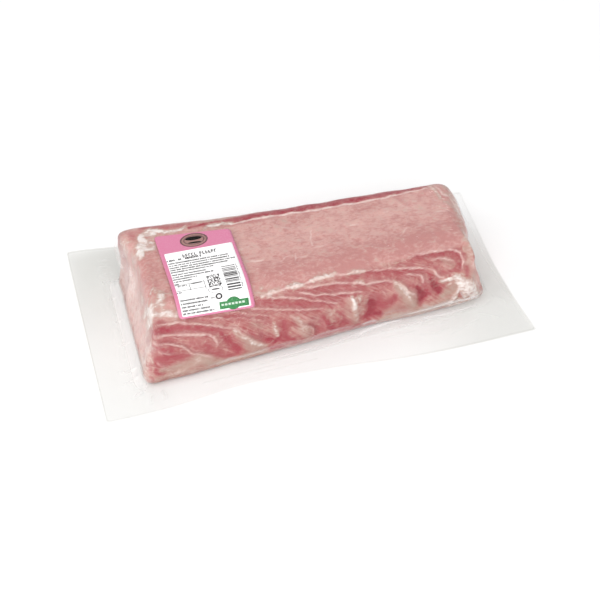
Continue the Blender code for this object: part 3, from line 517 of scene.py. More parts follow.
# Lines of print fall evenly from the panel's left edge. Titles and headings: from, to, way up,
# height. Other lines: from, to, way up.
PRINT_SLOPE = -0.082
PRINT_LEFT = -115.0
PRINT_TITLES = [(-101, -88, 127.7, 4.0), (-86, -69, 127.7, 4.0)]
PRINT_HEADINGS = [
    (-115.5, -108, 124.2, 2.2), (-105.5, -102.5, 124.2, 2.2), (-99.5, -85.5, 124.2, 2.6),
]
PRINT_LINES = [
    (-115, -62, 120.3), (-115, -62, 117.4), (-115, -57.5, 114.5), (-115, -64, 111.7),
    (-115, -78, 108.9), (-115, -85, 105.4), (-115, -79, 102.4), (-115, -94, 99.6),
    (-115, -99, 96.6), (-115, -111, 93.4), (-113, -105, 90.6), (-101, -92, 91.4),
    (-115, -111, 83.4), (-114, -90, 75.6), (-114, -91, 72.5), (-114, -95, 69.6),
    (-114, -90, 66.8), (-114, -87, 64.2),
]

# The photo's camera: angles in degrees, then its distance, slide and target in mm.
CAMERA_ELEVATION = 43.234
CAMERA_AZIMUTH = -15.334
CAMERA_ROLL = -0.198
CAMERA_DISTANCE = 1352.8
CAMERA_SLIDE = (-2.295, -3.235)
CAMERA_TARGET = np.array([4.8, -0.3, 0.0])


# ---------------------------------------------------------------- numbers and colours

def smooth_step(t):
    """3 t squared less 2 t cubed, with t held between 0 and 1."""
    t = np.clip(t, 0.0, 1.0)
    return t * t * (3.0 - 2.0 * t)


def bell(distance, width):
    """e to the minus square of the distance over the width: 1 in the middle, fading both ways."""
    return np.exp(-(distance / width) ** 2)


def bell_sum(bells, x, y):
    """Sum of bells over two distances. Each has its place, its half sizes and its amount."""
    return sum(amount * np.exp(-((x - at_x) / half_x) ** 2 - ((y - at_y) / half_y) ** 2)
               for at_x, at_y, half_x, half_y, amount in bells)


def linear(hex_code):
    """Linear RGBA of an sRGB colour written as six hex digits."""
    srgb = np.array([int(hex_code[i:i + 2], 16) for i in (0, 2, 4)]) / 255.0
    values = np.where(srgb <= 0.04045, srgb / 12.92, ((srgb + 0.055) / 1.055) ** 2.4)
    return (*values.tolist(), 1.0)


def colour(name, hex_code, description):
    """A colour property whose default is an sRGB hex value."""
    return FloatVectorProperty(name=name, description=description, subtype="COLOR", size=4,
                               min=0.0, max=1.0, default=linear(hex_code))


def ripple(x, y, length, seed):
    """A smooth random height between about -1 and 1: six sine waves of random direction added,
    each about `length` long."""
    source = np.random.default_rng(seed)
    total = np.zeros(np.broadcast(x, y).shape)
    for turn, phase, stretch in zip(source.uniform(0.0, np.pi, 6), source.uniform(0.0, 6.28, 6),
                                    source.uniform(0.7, 1.5, 6)):
        way = x * np.cos(turn) + y * np.sin(turn)
        total += np.sin(2.0 * np.pi * way / (length * stretch) + phase)
    return total / 3.0


# ---------------------------------------------------------------- surfaces

def rounded_outlines(corners, insets, radii, counts):
    """Rounded four-sided outlines, one for each row of insets, counterclockwise from front left.

    Each side's line is moved in by its inset, neighbouring lines meet in corners, and an arc of
    the row's radius rounds each corner. Also gives, for each point of an outline, its share of
    the four sides, and how far it is across from the front (0) to the back (1).
    """
    edges = np.roll(corners, -1, axis=0) - corners
    edges = edges / np.linalg.norm(edges, axis=1)[:, None]
    inward = np.stack([-edges[:, 1], edges[:, 0]], axis=1)
    before = np.roll(inward, 1, axis=0)
    reach = (inward * corners).sum(axis=1) + insets
    reach_before = np.roll(reach, 1, axis=1)
    cross = before[:, 0] * inward[:, 1] - before[:, 1] * inward[:, 0]
    corner = np.stack([(reach_before * inward[:, 1] - reach * before[:, 1]) / cross,
                       (before[:, 0] * reach - inward[:, 0] * reach_before) / cross], axis=-1)
    back_along = -np.roll(edges, 1, axis=0)
    half = np.arccos((back_along * edges).sum(axis=1)) / 2.0
    middle = back_along + edges
    middle = middle / np.linalg.norm(middle, axis=1)[:, None]
    radius = radii[:, None, None]
    arc_start = corner + back_along * radius / np.tan(half)[:, None]
    arc_end = corner + edges * radius / np.tan(half)[:, None]
    centre = corner + middle * radius / np.sin(half)[:, None]
    long_count, corner_count, end_count = counts
    runs, sides, across = [], [], []
    for i, count in enumerate((long_count, end_count, long_count, end_count)):
        follower = (i + 1) % 4
        t = np.arange(count)[:, None] / count
        start, end = arc_end[:, None, i], arc_start[:, None, follower]
        runs.append(start + (end - start) * t)
        sides.append(np.tile(np.eye(4)[i], (count, 1)))
        across.append((np.zeros(count), t[:, 0], np.ones(count), 1.0 - t[:, 0])[i])
        first = np.arctan2(-inward[i, 1], -inward[i, 0])
        sweep = (np.arctan2(-inward[follower, 1], -inward[follower, 0]) - first) % (2.0 * np.pi)
        t = np.arange(corner_count) / corner_count
        turn = first + sweep * t
        runs.append(centre[:, None, follower] + radius * np.stack([np.cos(turn), np.sin(turn)], -1))
        share = smooth_step(t)[:, None]
        sides.append((1.0 - share) * np.eye(4)[i] + share * np.eye(4)[follower])
        across.append(np.full(corner_count, (0.0, 1.0, 1.0, 0.0)[i]))
    return np.concatenate(runs, axis=1), np.concatenate(sides), np.concatenate(across)


def block_height(x):
    """Height of the block's flat top, which falls evenly to the right."""
    left, right = LOIN_CORNERS[0, 0], LOIN_CORNERS[1, 0]
    return LOIN_HEIGHTS[0] + (LOIN_HEIGHTS[1] - LOIN_HEIGHTS[0]) * (x - left) / (right - left)


def wall_rise(x, side_drop):
    """Height of the plain wall between the round foot and a shoulder that drops side_drop."""
    return block_height(x) - side_drop - LOIN_FLOOR - FOOT_RADIUS


def front_line(x):
    """Place of the meat's front foot line in depth."""
    (left, left_y), (right, right_y) = LOIN_CORNERS[:2]
    return left_y + (right_y - left_y) * (x - left) / (right - left)


def way_up_front(x, z):
    """The way up the front's foot, wall and shoulder to a height: an arc while below the wall,
    then the height itself, then the arc whose sine gives the height on the shoulder."""
    wall = wall_rise(x, SHOULDER_DOWN[FRONT])
    lift = z - LOIN_FLOOR
    foot = FOOT_RADIUS * np.arccos(np.clip(1.0 - lift / FOOT_RADIUS, 0.0, 1.0))
    risen = np.clip(lift - FOOT_RADIUS, 0.0, wall)
    bend = np.arcsin(np.clip((lift - FOOT_RADIUS - wall) / SHOULDER_DOWN[FRONT], 0.0, 1.0))
    return foot + risen + FRONT_SHOULDER_RADIUS * bend


def over_the_top(x, y):
    """The way up the front and on across the flat top, for a place on the top."""
    front_top = (FOOT_RADIUS * QUARTER_TURN + wall_rise(x, SHOULDER_DOWN[FRONT])
                 + FRONT_SHOULDER_RADIUS * QUARTER_TURN)
    return front_top + y - front_line(x) - WALL_LEAN[FRONT] - SHOULDER_IN[FRONT]


def block_levels(foot_count, wall_count, shoulder_count, lowest_share=0.0):
    """Rows of foot angle, share of the wall and turn of the shoulder, from the foot to the top."""
    foot = np.linspace(0.0, QUARTER_TURN, foot_count, endpoint=False)
    wall = np.linspace(lowest_share, 1.0, wall_count, endpoint=False)
    shoulder = np.linspace(0.0, 1.0, shoulder_count)
    return np.concatenate([
        np.column_stack([foot, np.zeros(foot_count), np.zeros(foot_count)]),
        np.column_stack([np.full(wall_count, QUARTER_TURN), wall, np.zeros(wall_count)]),
        np.column_stack([np.full(shoulder_count, QUARTER_TURN), np.ones(shoulder_count),
                         shoulder])])


def block_walls(levels, counts):
    """Rows of x, y, z, way up and side shares on the block's foot, walls and shoulders.

    A level moves every side in by the round foot, the lean of the wall and the elliptical
    shoulder, and lifts it by the same three. The way up is measured along the surface from the
    front foot, and runs on over the top and down the back.
    """
    foot, share, turn = (column[:, None] for column in levels.T)
    angle = turn * QUARTER_TURN
    insets = (FOOT_RADIUS * (1.0 - np.sin(foot)) + WALL_LEAN * share
              + SHOULDER_IN * (1.0 - np.cos(angle)))
    radii = (WALL_CORNER_RADIUS - FOOT_RADIUS * (1.0 - np.sin(foot))
             + (TOP_CORNER_RADIUS - WALL_CORNER_RADIUS) * turn)
    xy, sides, across = rounded_outlines(LOIN_CORNERS, insets, radii[:, 0], counts)
    x, y = xy[..., 0], xy[..., 1]
    drop = sides @ SHOULDER_DOWN
    z = (LOIN_FLOOR + FOOT_RADIUS * (1.0 - np.cos(foot)) + wall_rise(x, drop) * share
         + drop * np.sin(angle))
    way_up = way_up_front(x, z)
    way_down = (over_the_top(x, BACK_TOP_EDGE) + BACK_SHOULDER_RADIUS * (QUARTER_TURN - angle)
                + wall_rise(x, SHOULDER_DOWN[BACK]) * (1.0 - share)
                + FOOT_RADIUS * (QUARTER_TURN - foot))
    way = way_up + (way_down - way_up) * across
    shares = np.broadcast_to(sides, (*x.shape, 4))
    return np.concatenate([np.stack([x, y, z, way], axis=-1), shares], axis=-1)


def spine_numbers(counts):
    """For each point of an outline, the number of the spine point that it closes onto."""
    long_count, corner_count, end_count = counts
    turn = 2 * corner_count + end_count
    along = np.arange(long_count)
    return np.concatenate([along, np.full(turn, long_count), long_count - along,
                           np.zeros(turn, dtype=int)])


def closing_rows(edge, counts, inner_count):
    """Loops from a flat outline in to a straight spine along its middle, and the spine."""
    long_count, corner_count, end_count = counts
    opposite = long_count + 2 * corner_count + end_count
    along = np.arange(long_count + 1)
    middle = (edge[along] + edge[(opposite + long_count - along) % len(edge)]) / 2.0
    reach = np.linspace(*SPINE_REACH, long_count + 1)[:, None]
    spine = middle[0] + (middle[-1] - middle[0]) * reach
    shares = (np.arange(1, inner_count + 1) / (inner_count + 1))[:, None, None]
    return edge + (spine[spine_numbers(counts)] - edge) * shares, spine


def top_rows(edge, counts, inner_count):
    """Loops across the flat top to its spine, with their way over the top."""
    loops, spine = closing_rows(edge, counts, inner_count)
    for rows in (loops, spine):
        rows[..., 3] = over_the_top(rows[..., 0], rows[..., 1])
    return loops, spine


def cell_triangles(grid):
    """Two triangles for each cell of a grid of point numbers, less those that shrink to a line
    because two of their points are one."""
    low, low_next, high, high_next = grid[:-1, :-1], grid[:-1, 1:], grid[1:, :-1], grid[1:, 1:]
    triangles = np.concatenate([np.stack([low, low_next, high_next], -1).reshape(-1, 3),
                                np.stack([low, high_next, high], -1).reshape(-1, 3)])
    a, b, c = triangles.T
    return triangles[(a != b) & (b != c) & (c != a)]


def ring_triangles(grid):
    """The same for a grid whose rows are closed loops."""
    return cell_triangles(np.column_stack([grid, grid[:, 0]]))


def joined(bottom_spine, loops, top_spine, counts):
    """Rows of points of a stack of loops, closed by spines, and its triangles."""
    points = [loops.reshape(-1, loops.shape[-1])]
    numbers = [np.arange(loops.shape[0] * loops.shape[1]).reshape(loops.shape[:2])]
    own = spine_numbers(counts)[None]
    for spine, at_top in ((bottom_spine, False), (top_spine, True)):
        if spine is not None:
            row = own + sum(map(len, points))
            numbers = numbers + [row] if at_top else [row] + numbers
            points.append(spine)
    return np.concatenate(points), ring_triangles(np.concatenate(numbers))


def vertex_normals(xyz, triangles):
    """Sum of the normals of the triangles round each point, weighted by area, at length 1."""
    a, b, c = (xyz[triangles[:, i]] for i in range(3))
    face = np.cross(b - a, c - a)
    normals = np.stack([sum(np.bincount(triangles[:, corner], face[:, axis], len(xyz))
                            for corner in range(3)) for axis in range(3)], axis=1)
    return normals / np.linalg.norm(normals, axis=1)[:, None]


def pulled_out(xyz):
    """The points after the block's pulls and sags: bell-shaped shifts round their places."""
    shifts = np.zeros_like(xyz)
    for place, width, shift in PULLS:
        away = np.linalg.norm(xyz - np.array(place), axis=1)
        shifts += bell(away, width)[:, None] * np.array(shift)
    shifts[:, 2] *= smooth_step(xyz[:, 2] / SAG_FADE)
    return xyz + shifts


def block_form(rows, triangles):
    """Points and normals of the block with its pulls, and with bell-shaped lumps and hollows on
    its trimmed front."""
    xyz = pulled_out(rows[:, :3])
    x, way, front = rows[:, 0], rows[:, 3], rows[:, 4 + FRONT]
    relief = bell_sum(LUMPS, x, way) * smooth_step(way / FOOT_FADE) * front
    xyz = xyz + vertex_normals(xyz, triangles) * relief[:, None]
    return xyz, vertex_normals(xyz, triangles)


def pulled_corner(rows):
    """Share of the left end, greatest at its upper back corner, where the film stands off the
    meat: smooth steps along the end's height, depth and length."""
    x, y, z = rows[:, :3].T
    corner = smooth_step((z - 14.0) / 30.0) * (0.35 + 0.65 * smooth_step((y + 25.0) / 60.0))
    return rows[:, 4 + LEFT] * corner * smooth_step((-137.0 - x) / 9.0)


def along_line(line, x, y, margin):
    """Nearest place on a broken line for each point close to it.

    Gives the numbers of those points, their distance from the line, positive on its left as it
    runs, and the line's own further values there.
    """
    line = np.array(line, dtype=float)
    low, high = line[:, :2].min(axis=0) - margin, line[:, :2].max(axis=0) + margin
    near = np.nonzero((x > low[0]) & (x < high[0]) & (y > low[1]) & (y < high[1]))[0]
    run = np.diff(line[:, :2], axis=0)
    to_x = x[near, None] - line[:-1, 0]
    to_y = y[near, None] - line[:-1, 1]
    share = np.clip((to_x * run[:, 0] + to_y * run[:, 1]) / (run ** 2).sum(axis=1), 0.0, 1.0)
    away = np.hypot(to_x - share * run[:, 0], to_y - share * run[:, 1])
    best = away.argmin(axis=1)
    row = np.arange(len(near))
    left = np.sign(run[best, 0] * to_y[row, best] - run[best, 1] * to_x[row, best])
    own = line[best, 2:] + np.diff(line[:, 2:], axis=0)[best] * share[row, best][:, None]
    return near, away[row, best] * left, own


def stroke_field(strokes, x, y, softness):
    """Strength of the strongest stroke at each point: full along its middle, and fading out by
    smooth_step over `softness`, and more on a wide stroke, round its half width."""
    field = np.zeros_like(x)
    for strength, line in strokes:
        near, away, own = along_line(line, x, y, STROKE_MARGIN)
        soft = softness + 0.7 * own[:, 0]
        value = strength * smooth_step((own[:, 0] + soft * 0.6 - np.abs(away)) / soft)
        field[near] = np.maximum(field[near], value)
    return field


# ---------------------------------------------------------------- pieces and nodes

def new_piece(context, name, xyz, triangles, material, replaces=(), fields=None, uv=None):
    """A smooth mesh piece from points in mm, with its attributes, riding on the pack's body."""
    mesh = bpy.data.meshes.new(name)
    mesh.vertices.add(len(xyz))
    mesh.vertices.foreach_set("co", (xyz * MM).astype(np.float32).ravel())
    mesh.loops.add(triangles.size)
    mesh.loops.foreach_set("vertex_index", triangles.astype(np.int32).ravel())
    mesh.polygons.add(len(triangles))
    mesh.polygons.foreach_set("loop_start", np.arange(0, triangles.size, 3, dtype=np.int32))
    for label, values in (fields or {}).items():
        attribute = mesh.attributes.new(label, "FLOAT", "POINT")
        attribute.data.foreach_set("value", values.astype(np.float32))
    if uv is not None:
        layer = mesh.uv_layers.new(name="grain")
        layer.uv.foreach_set("vector", uv[triangles.ravel()].astype(np.float32).ravel())
    mesh.update(calc_edges=True)
    if mesh.validate():
        raise RuntimeError(f"{name}: the mesh has faulty faces")
    mesh.shade_smooth()
    mesh.materials.append(material)
    piece = bpy.data.objects.new(name, mesh)
    context.scene.collection.objects.link(piece)
    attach(piece, "root")
    if replaces:
        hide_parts(*replaces)
    return piece


def thickened(piece, thickness):
    """Gives an open sheet its thickness in mm, inwards from its face."""
    solidify = piece.modifiers.new("thickness", "SOLIDIFY")
    solidify.thickness = thickness * MM
    solidify.offset = -1.0


def add_node(tree, kind, inputs=None, **settings):
    """Adds a node with its settings; inputs maps a socket's name or number to a value or to
    another node's output."""
    node = tree.nodes.new(kind)
    for key, value in settings.items():
        setattr(node, key, value)
    for key, value in (inputs or {}).items():
        if isinstance(value, bpy.types.NodeSocket):
            tree.links.new(value, node.inputs[key])
        else:
            node.inputs[key].default_value = value
    return node


def new_material(name):
    """An empty node material, its tree and its output node."""
    material = bpy.data.materials.new(name)
    material.use_nodes = True
    tree = material.node_tree
    tree.nodes.clear()
    return material, tree, tree.nodes.new("ShaderNodeOutputMaterial")


def view_matrix(right, up, back, place):
    """Columns of a camera's or lamp's matrix, in metres: it looks along the opposite of back."""
    matrix = Matrix.Identity(4)
    for row in range(3):
        matrix[row][:] = (right[row], up[row], back[row], place[row])
    return matrix


# ---------------------------------------------------------------- settings

class LoinSettings(PropertyGroup):
    lean: colour("Pale lean", "D8B0A8", "Pale pink of the smooth muscle on top")
    lean_low: colour("Red lean", "B67F7B", "Deeper pink of the smooth muscle towards the front")
    leaf: colour("Pale leaf", "B5827A", "Pale pink of the trimmed leaves of muscle")
    leaf_red: colour("Red leaf", "A05958", "Deeper pink of the trimmed leaves of muscle")
    deep: colour("Deep red", "9A3040", "Red of the hollows and of the back band")
    fat: colour("Fat", "E4DCD8", "White of the fat")
    tissue: colour("Tissue", "AC9185", "Beige of thin smooth tissue and soft fat over the lean")
    warm_fat: colour("Thin fat", "B5958A", "Beige of fat with lean showing through")
    # Pale skin also paints glints along the leaves' rims, the streaks and the flecks.
    pale: colour("Pale skin", "E0C9C2", "Whitish skin on rims of leaves, streaks and ends")
    # Painted shade: the colour mixed in where shade falls, in the leaves' creases, under the foot
    # and in hollows.
    shade: colour("Crease", "7E3335", "Dark line where one leaf lies on the next")
    edge_relief: FloatProperty(
        name="Leaf edge height", description="Height of a leaf's rim over the crease beside it",
        default=LEAF_RELIEF, min=0.0, max=0.003, unit="LENGTH")


class FilmSettings(PropertyGroup):
    cling: FloatProperty(
        name="Cling", description="Room between the meat and the drawn film",
        default=0.0007, min=0.0003, max=0.001, unit="LENGTH")
    tint: colour("Film tint", "F5F5F4", "Light that one wall of film lets through")
    # Film haze also paints the glints of the strands at the meat's foot.
    haze: colour("Film haze", "F4F2F1", "White of folded and stretched film")


class LabelSettings(PropertyGroup):
    pink: colour("Pink ink", "CE7597", "Border and header of the label")
    paper: colour("Paper", "FBFAFA", "White panel of the label")
    ink: colour("Black ink", "3A3738", "Lines of print and codes")
    green: colour("Green ink", "3A824C", "Banner at the foot of the label")
    badge: colour("Brown ink", "9C7570", "Oval badge of the header")
    corner: FloatProperty(
        name="Corner radius", description="Radius of the label's die-cut corners",
        default=0.003, min=0.0, max=0.01, unit="LENGTH")


class StudioSettings(PropertyGroup):
    floor: colour("Floor", "FAFAFA", "Paper sheet that the pack lies on")
    surround: FloatProperty(
        name="Surround", description="Strength of the even white surround",
        default=0.72, min=0.0, max=3.0)
    key: FloatProperty(
        name="Key light", description="Power of the large soft light in front",
        default=30.0, min=0.0, max=200.0)
    glint: FloatProperty(
        name="Glint lights", description="Power of each small light for glints on the film",
        default=1.0, min=0.0, max=20.0)


# ---------------------------------------------------------------- the meat

def loin_rows():
    """The loin's stack of loops: a flat underside, the foot, walls, shoulders and flat top."""
    walls = block_walls(block_levels(5, 14, 56), LOIN_COUNTS)
    top, top_spine = top_rows(walls[-1], LOIN_COUNTS, 42)
    bottom, bottom_spine = closing_rows(walls[0], LOIN_COUNTS, 2)
    bottom[..., 3] = 0.0
    bottom_spine[:, 3] = 0.0
    loops = np.concatenate([bottom[::-1], walls, top])
    return joined(bottom_spine, loops, top_spine, LOIN_COUNTS)


def leaf_edge_fields(x, way):
    """Rim, partly a painted glint, painted shade in the creases and redness beside the leaves'
    edges, and their relief as a share.

    Across an edge the relief rises slowly to the rim, falls steeply into a crease below it and
    climbs back over the reach of the redness, and the paleness of the rim fades out upwards.
    Every edge fades out at both its ends.
    """
    rim_and_glint, crease, red, relief = (np.zeros_like(x) for _ in range(4))
    for half_width, pale, painted_shade_strength, redness, reach, line in LEAF_EDGES:
        near, away, _ = along_line(line, x, way, STROKE_MARGIN)
        above, below = away, -away
        ends = np.minimum(np.hypot(x[near] - line[0][0], way[near] - line[0][1]),
                          np.hypot(x[near] - line[-1][0], way[near] - line[-1][1]))
        fade = smooth_step(ends / LEAF_END_FADE)
        flank = np.where(above > 0.0, 0.5 * np.exp(-np.abs(away) / (2.4 * half_width)), 0.0)
        rim_and_glint_share = pale * np.maximum(flank, bell(away, half_width + 0.1)) * fade
        # Painted shade in the crease above the rim, and a weaker one below it.
        upper_crease = painted_shade_strength * bell(above - half_width - 1.1, 0.9) * fade
        lower_crease = bell(away + half_width + 1.0, 0.8) * fade
        redden = (smooth_step((below - half_width * 0.6) / 0.9)
                  * np.exp(-np.clip(below - 1.5, 0.0, None) / reach))
        rim_and_glint[near] = np.maximum(rim_and_glint[near], rim_and_glint_share)
        crease[near] = np.maximum(crease[near],
                                  np.maximum(upper_crease, 0.35 * redness * lower_crease))
        red[near] = np.maximum(red[near], redness * redden * fade)
        step = np.where(above > 0.0, 0.6 * np.exp(-np.abs(away) / 3.0), 0.6)
        step = (step - 1.2 * redden * smooth_step((away + 10.0) / 8.0)
                - 0.6 * smooth_step(below / 9.0))
        relief[near] += step * fade
    return rim_and_glint, crease, red, np.clip(relief, -1.3, 0.6)


def loin_fields(rows):
    """Attributes that colour the meat, and its relief in mm.

    Most attributes run from 0 to 1. Fat runs up to 1.6 and deep red up to 1.4, so that their
    strongest strokes outweigh the mottling of the material. The strokes are looked up at
    wobbly places, so that no edge is drawn with a ruler. The ends are mottled fat over lean.
    """
    x, y, z, way = rows[:, :4].T
    sides = rows[:, 4:]
    wobble_x = x + 0.9 * ripple(x, way, 17.0, 3) + 0.35 * ripple(x, way, 6.0, 4)
    wobble_way = way + 0.6 * ripple(x, way, 15.0, 5) + 0.3 * ripple(x, way, 5.0, 6)
    rim_and_glint, crease, red, relief = leaf_edge_fields(wobble_x, wobble_way)
    fat = stroke_field(FAT_STROKES, wobble_x, wobble_way, 4.4)
    tissue = stroke_field(TISSUE_STROKES, wobble_x, wobble_way, 3.4)
    streak = stroke_field(STREAKS_AND_GLINTS, wobble_x, wobble_way, 1.1)
    deep = stroke_field(DEEP_STROKES, wobble_x, wobble_way, 4.0)
    # Regions: the leaves up to their border, the back past the top's edge, the foot and the
    # painted shadow under its middle, and the two cut ends.
    along = (x - LOIN_CORNERS[0, 0]) / (LOIN_CORNERS[1, 0] - LOIN_CORNERS[0, 0])
    border = LEAF_BORDER - 4.0 * along
    start = -150.5 + 5.0 * smooth_step((way - 24.0) / 40.0)
    leaf = smooth_step((border - way) / 5.0 + 0.5) * smooth_step((x - start) / 3.0 + 1.0)
    back = smooth_step((way - over_the_top(x, BACK_TOP_EDGE) - 6.0) / 8.0)
    leaf = np.maximum(leaf, back)
    low = smooth_step((13.0 - way) / 6.0) * sides[:, FRONT]
    foot_shadow = (smooth_step((8.0 - way) / 4.0) * sides[:, FRONT]
             * smooth_step((x + 75.0) / 30.0) * smooth_step((70.0 - x) / 30.0))
    left_end = (sides[:, LEFT] * smooth_step((-143.0 - x) / 5.0)
                * smooth_step((60.0 - z) / 16.0))
    right_end = sides[:, RIGHT] * smooth_step((x - 142.0) / 8.0)
    ends = left_end + right_end
    mottle = np.clip(0.5 + 0.3 * ripple(y, 1.2 * z, 30.0, 11) + 0.1 * ripple(y, z, 9.0, 12),
                     0.0, 1.0)
    # Pale on the rims and streaks is partly painted glints.
    pale = np.maximum(0.75 * rim_and_glint, streak)
    milky = 0.28 + 0.25 * mottle + 0.4 * smooth_step((y + 5.0) / 45.0)
    pale = np.maximum(pale, left_end * milky)
    # The cut ends: a round eye of smooth lean in a seam, with fat round it at the edges.
    eye = np.hypot((y + 2.0 + 3.0 * ripple(y, z, 40.0, 17)) / 44.0,
                   (z - 29.0) / 22.0 + 0.12 * ripple(y, z, 30.0, 18))
    seam = bell(eye - 1.0, 0.05) * ends
    pale = np.maximum(pale, 0.8 * right_end * bell(eye - 1.02, 0.07))
    fat = np.maximum(fat, right_end * (0.6 * smooth_step((eye - 1.0) / 0.25) + 0.25 * mottle))
    fat = np.maximum(fat, left_end * (0.3 * mottle + 0.5 * smooth_step((eye - 1.15) / 0.3)))
    fat = np.maximum(fat, low * 0.25)
    leaf = leaf * (1.0 - ends * smooth_step((1.1 - eye) / 0.2))
    # The back: long seams of fat between red layers.
    layer = ripple(0.22 * x, way, 17.0, 13) + 0.35 * ripple(0.5 * x, way, 8.0, 19)
    fat = np.maximum(fat, back * 0.75 * smooth_step((layer - 0.15) / 0.5))
    deep = np.maximum(deep, back * 0.5 * smooth_step((-layer - 0.1) / 0.5))
    deep = np.maximum(deep, red)
    deep = np.clip(deep * (1.0 - 0.8 * np.maximum(fat, tissue)), 0.0, 1.4)
    # Relief: thick fat stands out, deep red lies low, and the ends sink along their seam.
    thick = smooth_step((fat - 0.7) / 0.5)
    body = np.clip(sides[:, FRONT] + back, 0.0, 1.0)
    height = (relief + 0.45 * fat + 0.8 * thick - 0.6 * deep) * body
    height = height + ends * (0.3 * ripple(y, z, 16.0, 14) - 0.5 * seam)
    height = height + 0.25 * ripple(x, way, 24.0, 15) + 0.12 * ripple(x, way, 9.0, 16)
    height = height * (smooth_step(way / FOOT_FADE)
                       * smooth_step((BACK_FADE_END - way) / FOOT_FADE))
    # Painted shade in the leaves' creases, over the back, under the foot's middle and in the
    # hollows' cores.
    hollow_shade = smooth_step((deep - 0.85) / 0.45)
    all_painted_shade = 0.8 * crease * (1.0 - fat) + 0.3 * back + 0.7 * foot_shadow + 0.45 * hollow_shade
    fields = {
        "fat": np.clip(fat, 0.0, 1.6),
        "tissue": tissue,
        "pale": np.clip(pale, 0.0, 1.0),
        "deep": deep,
        "crease": np.clip(all_painted_shade, 0.0, 1.0),
        "leaf": np.clip(leaf, 0.0, 1.0),
        "tone": 0.25 + bell_sum(TONES, x, way),
    }
    return fields, height


def grain_uv(rows):
    """Across and along the muscle's grain, in tenths of a metre: leaves fan out along parabolas
    that start at the upper border, or at the left end, and across them it runs at 0.3 of that."""
    x, way = rows[:, 0], rows[:, 3]
    below = np.clip(LEAF_BORDER - way, 4.0, None)
    start = x - LEAF_FAN * np.sqrt(below)
    drop = below - (np.clip(x - LEAF_LEFT, 0.0, None) / LEAF_FAN) ** 2
    across = np.where(start > LEAF_LEFT, start, LEAF_LEFT - 2.0 * drop) * 0.3
    return np.stack([across, x + way], axis=1) * 0.01


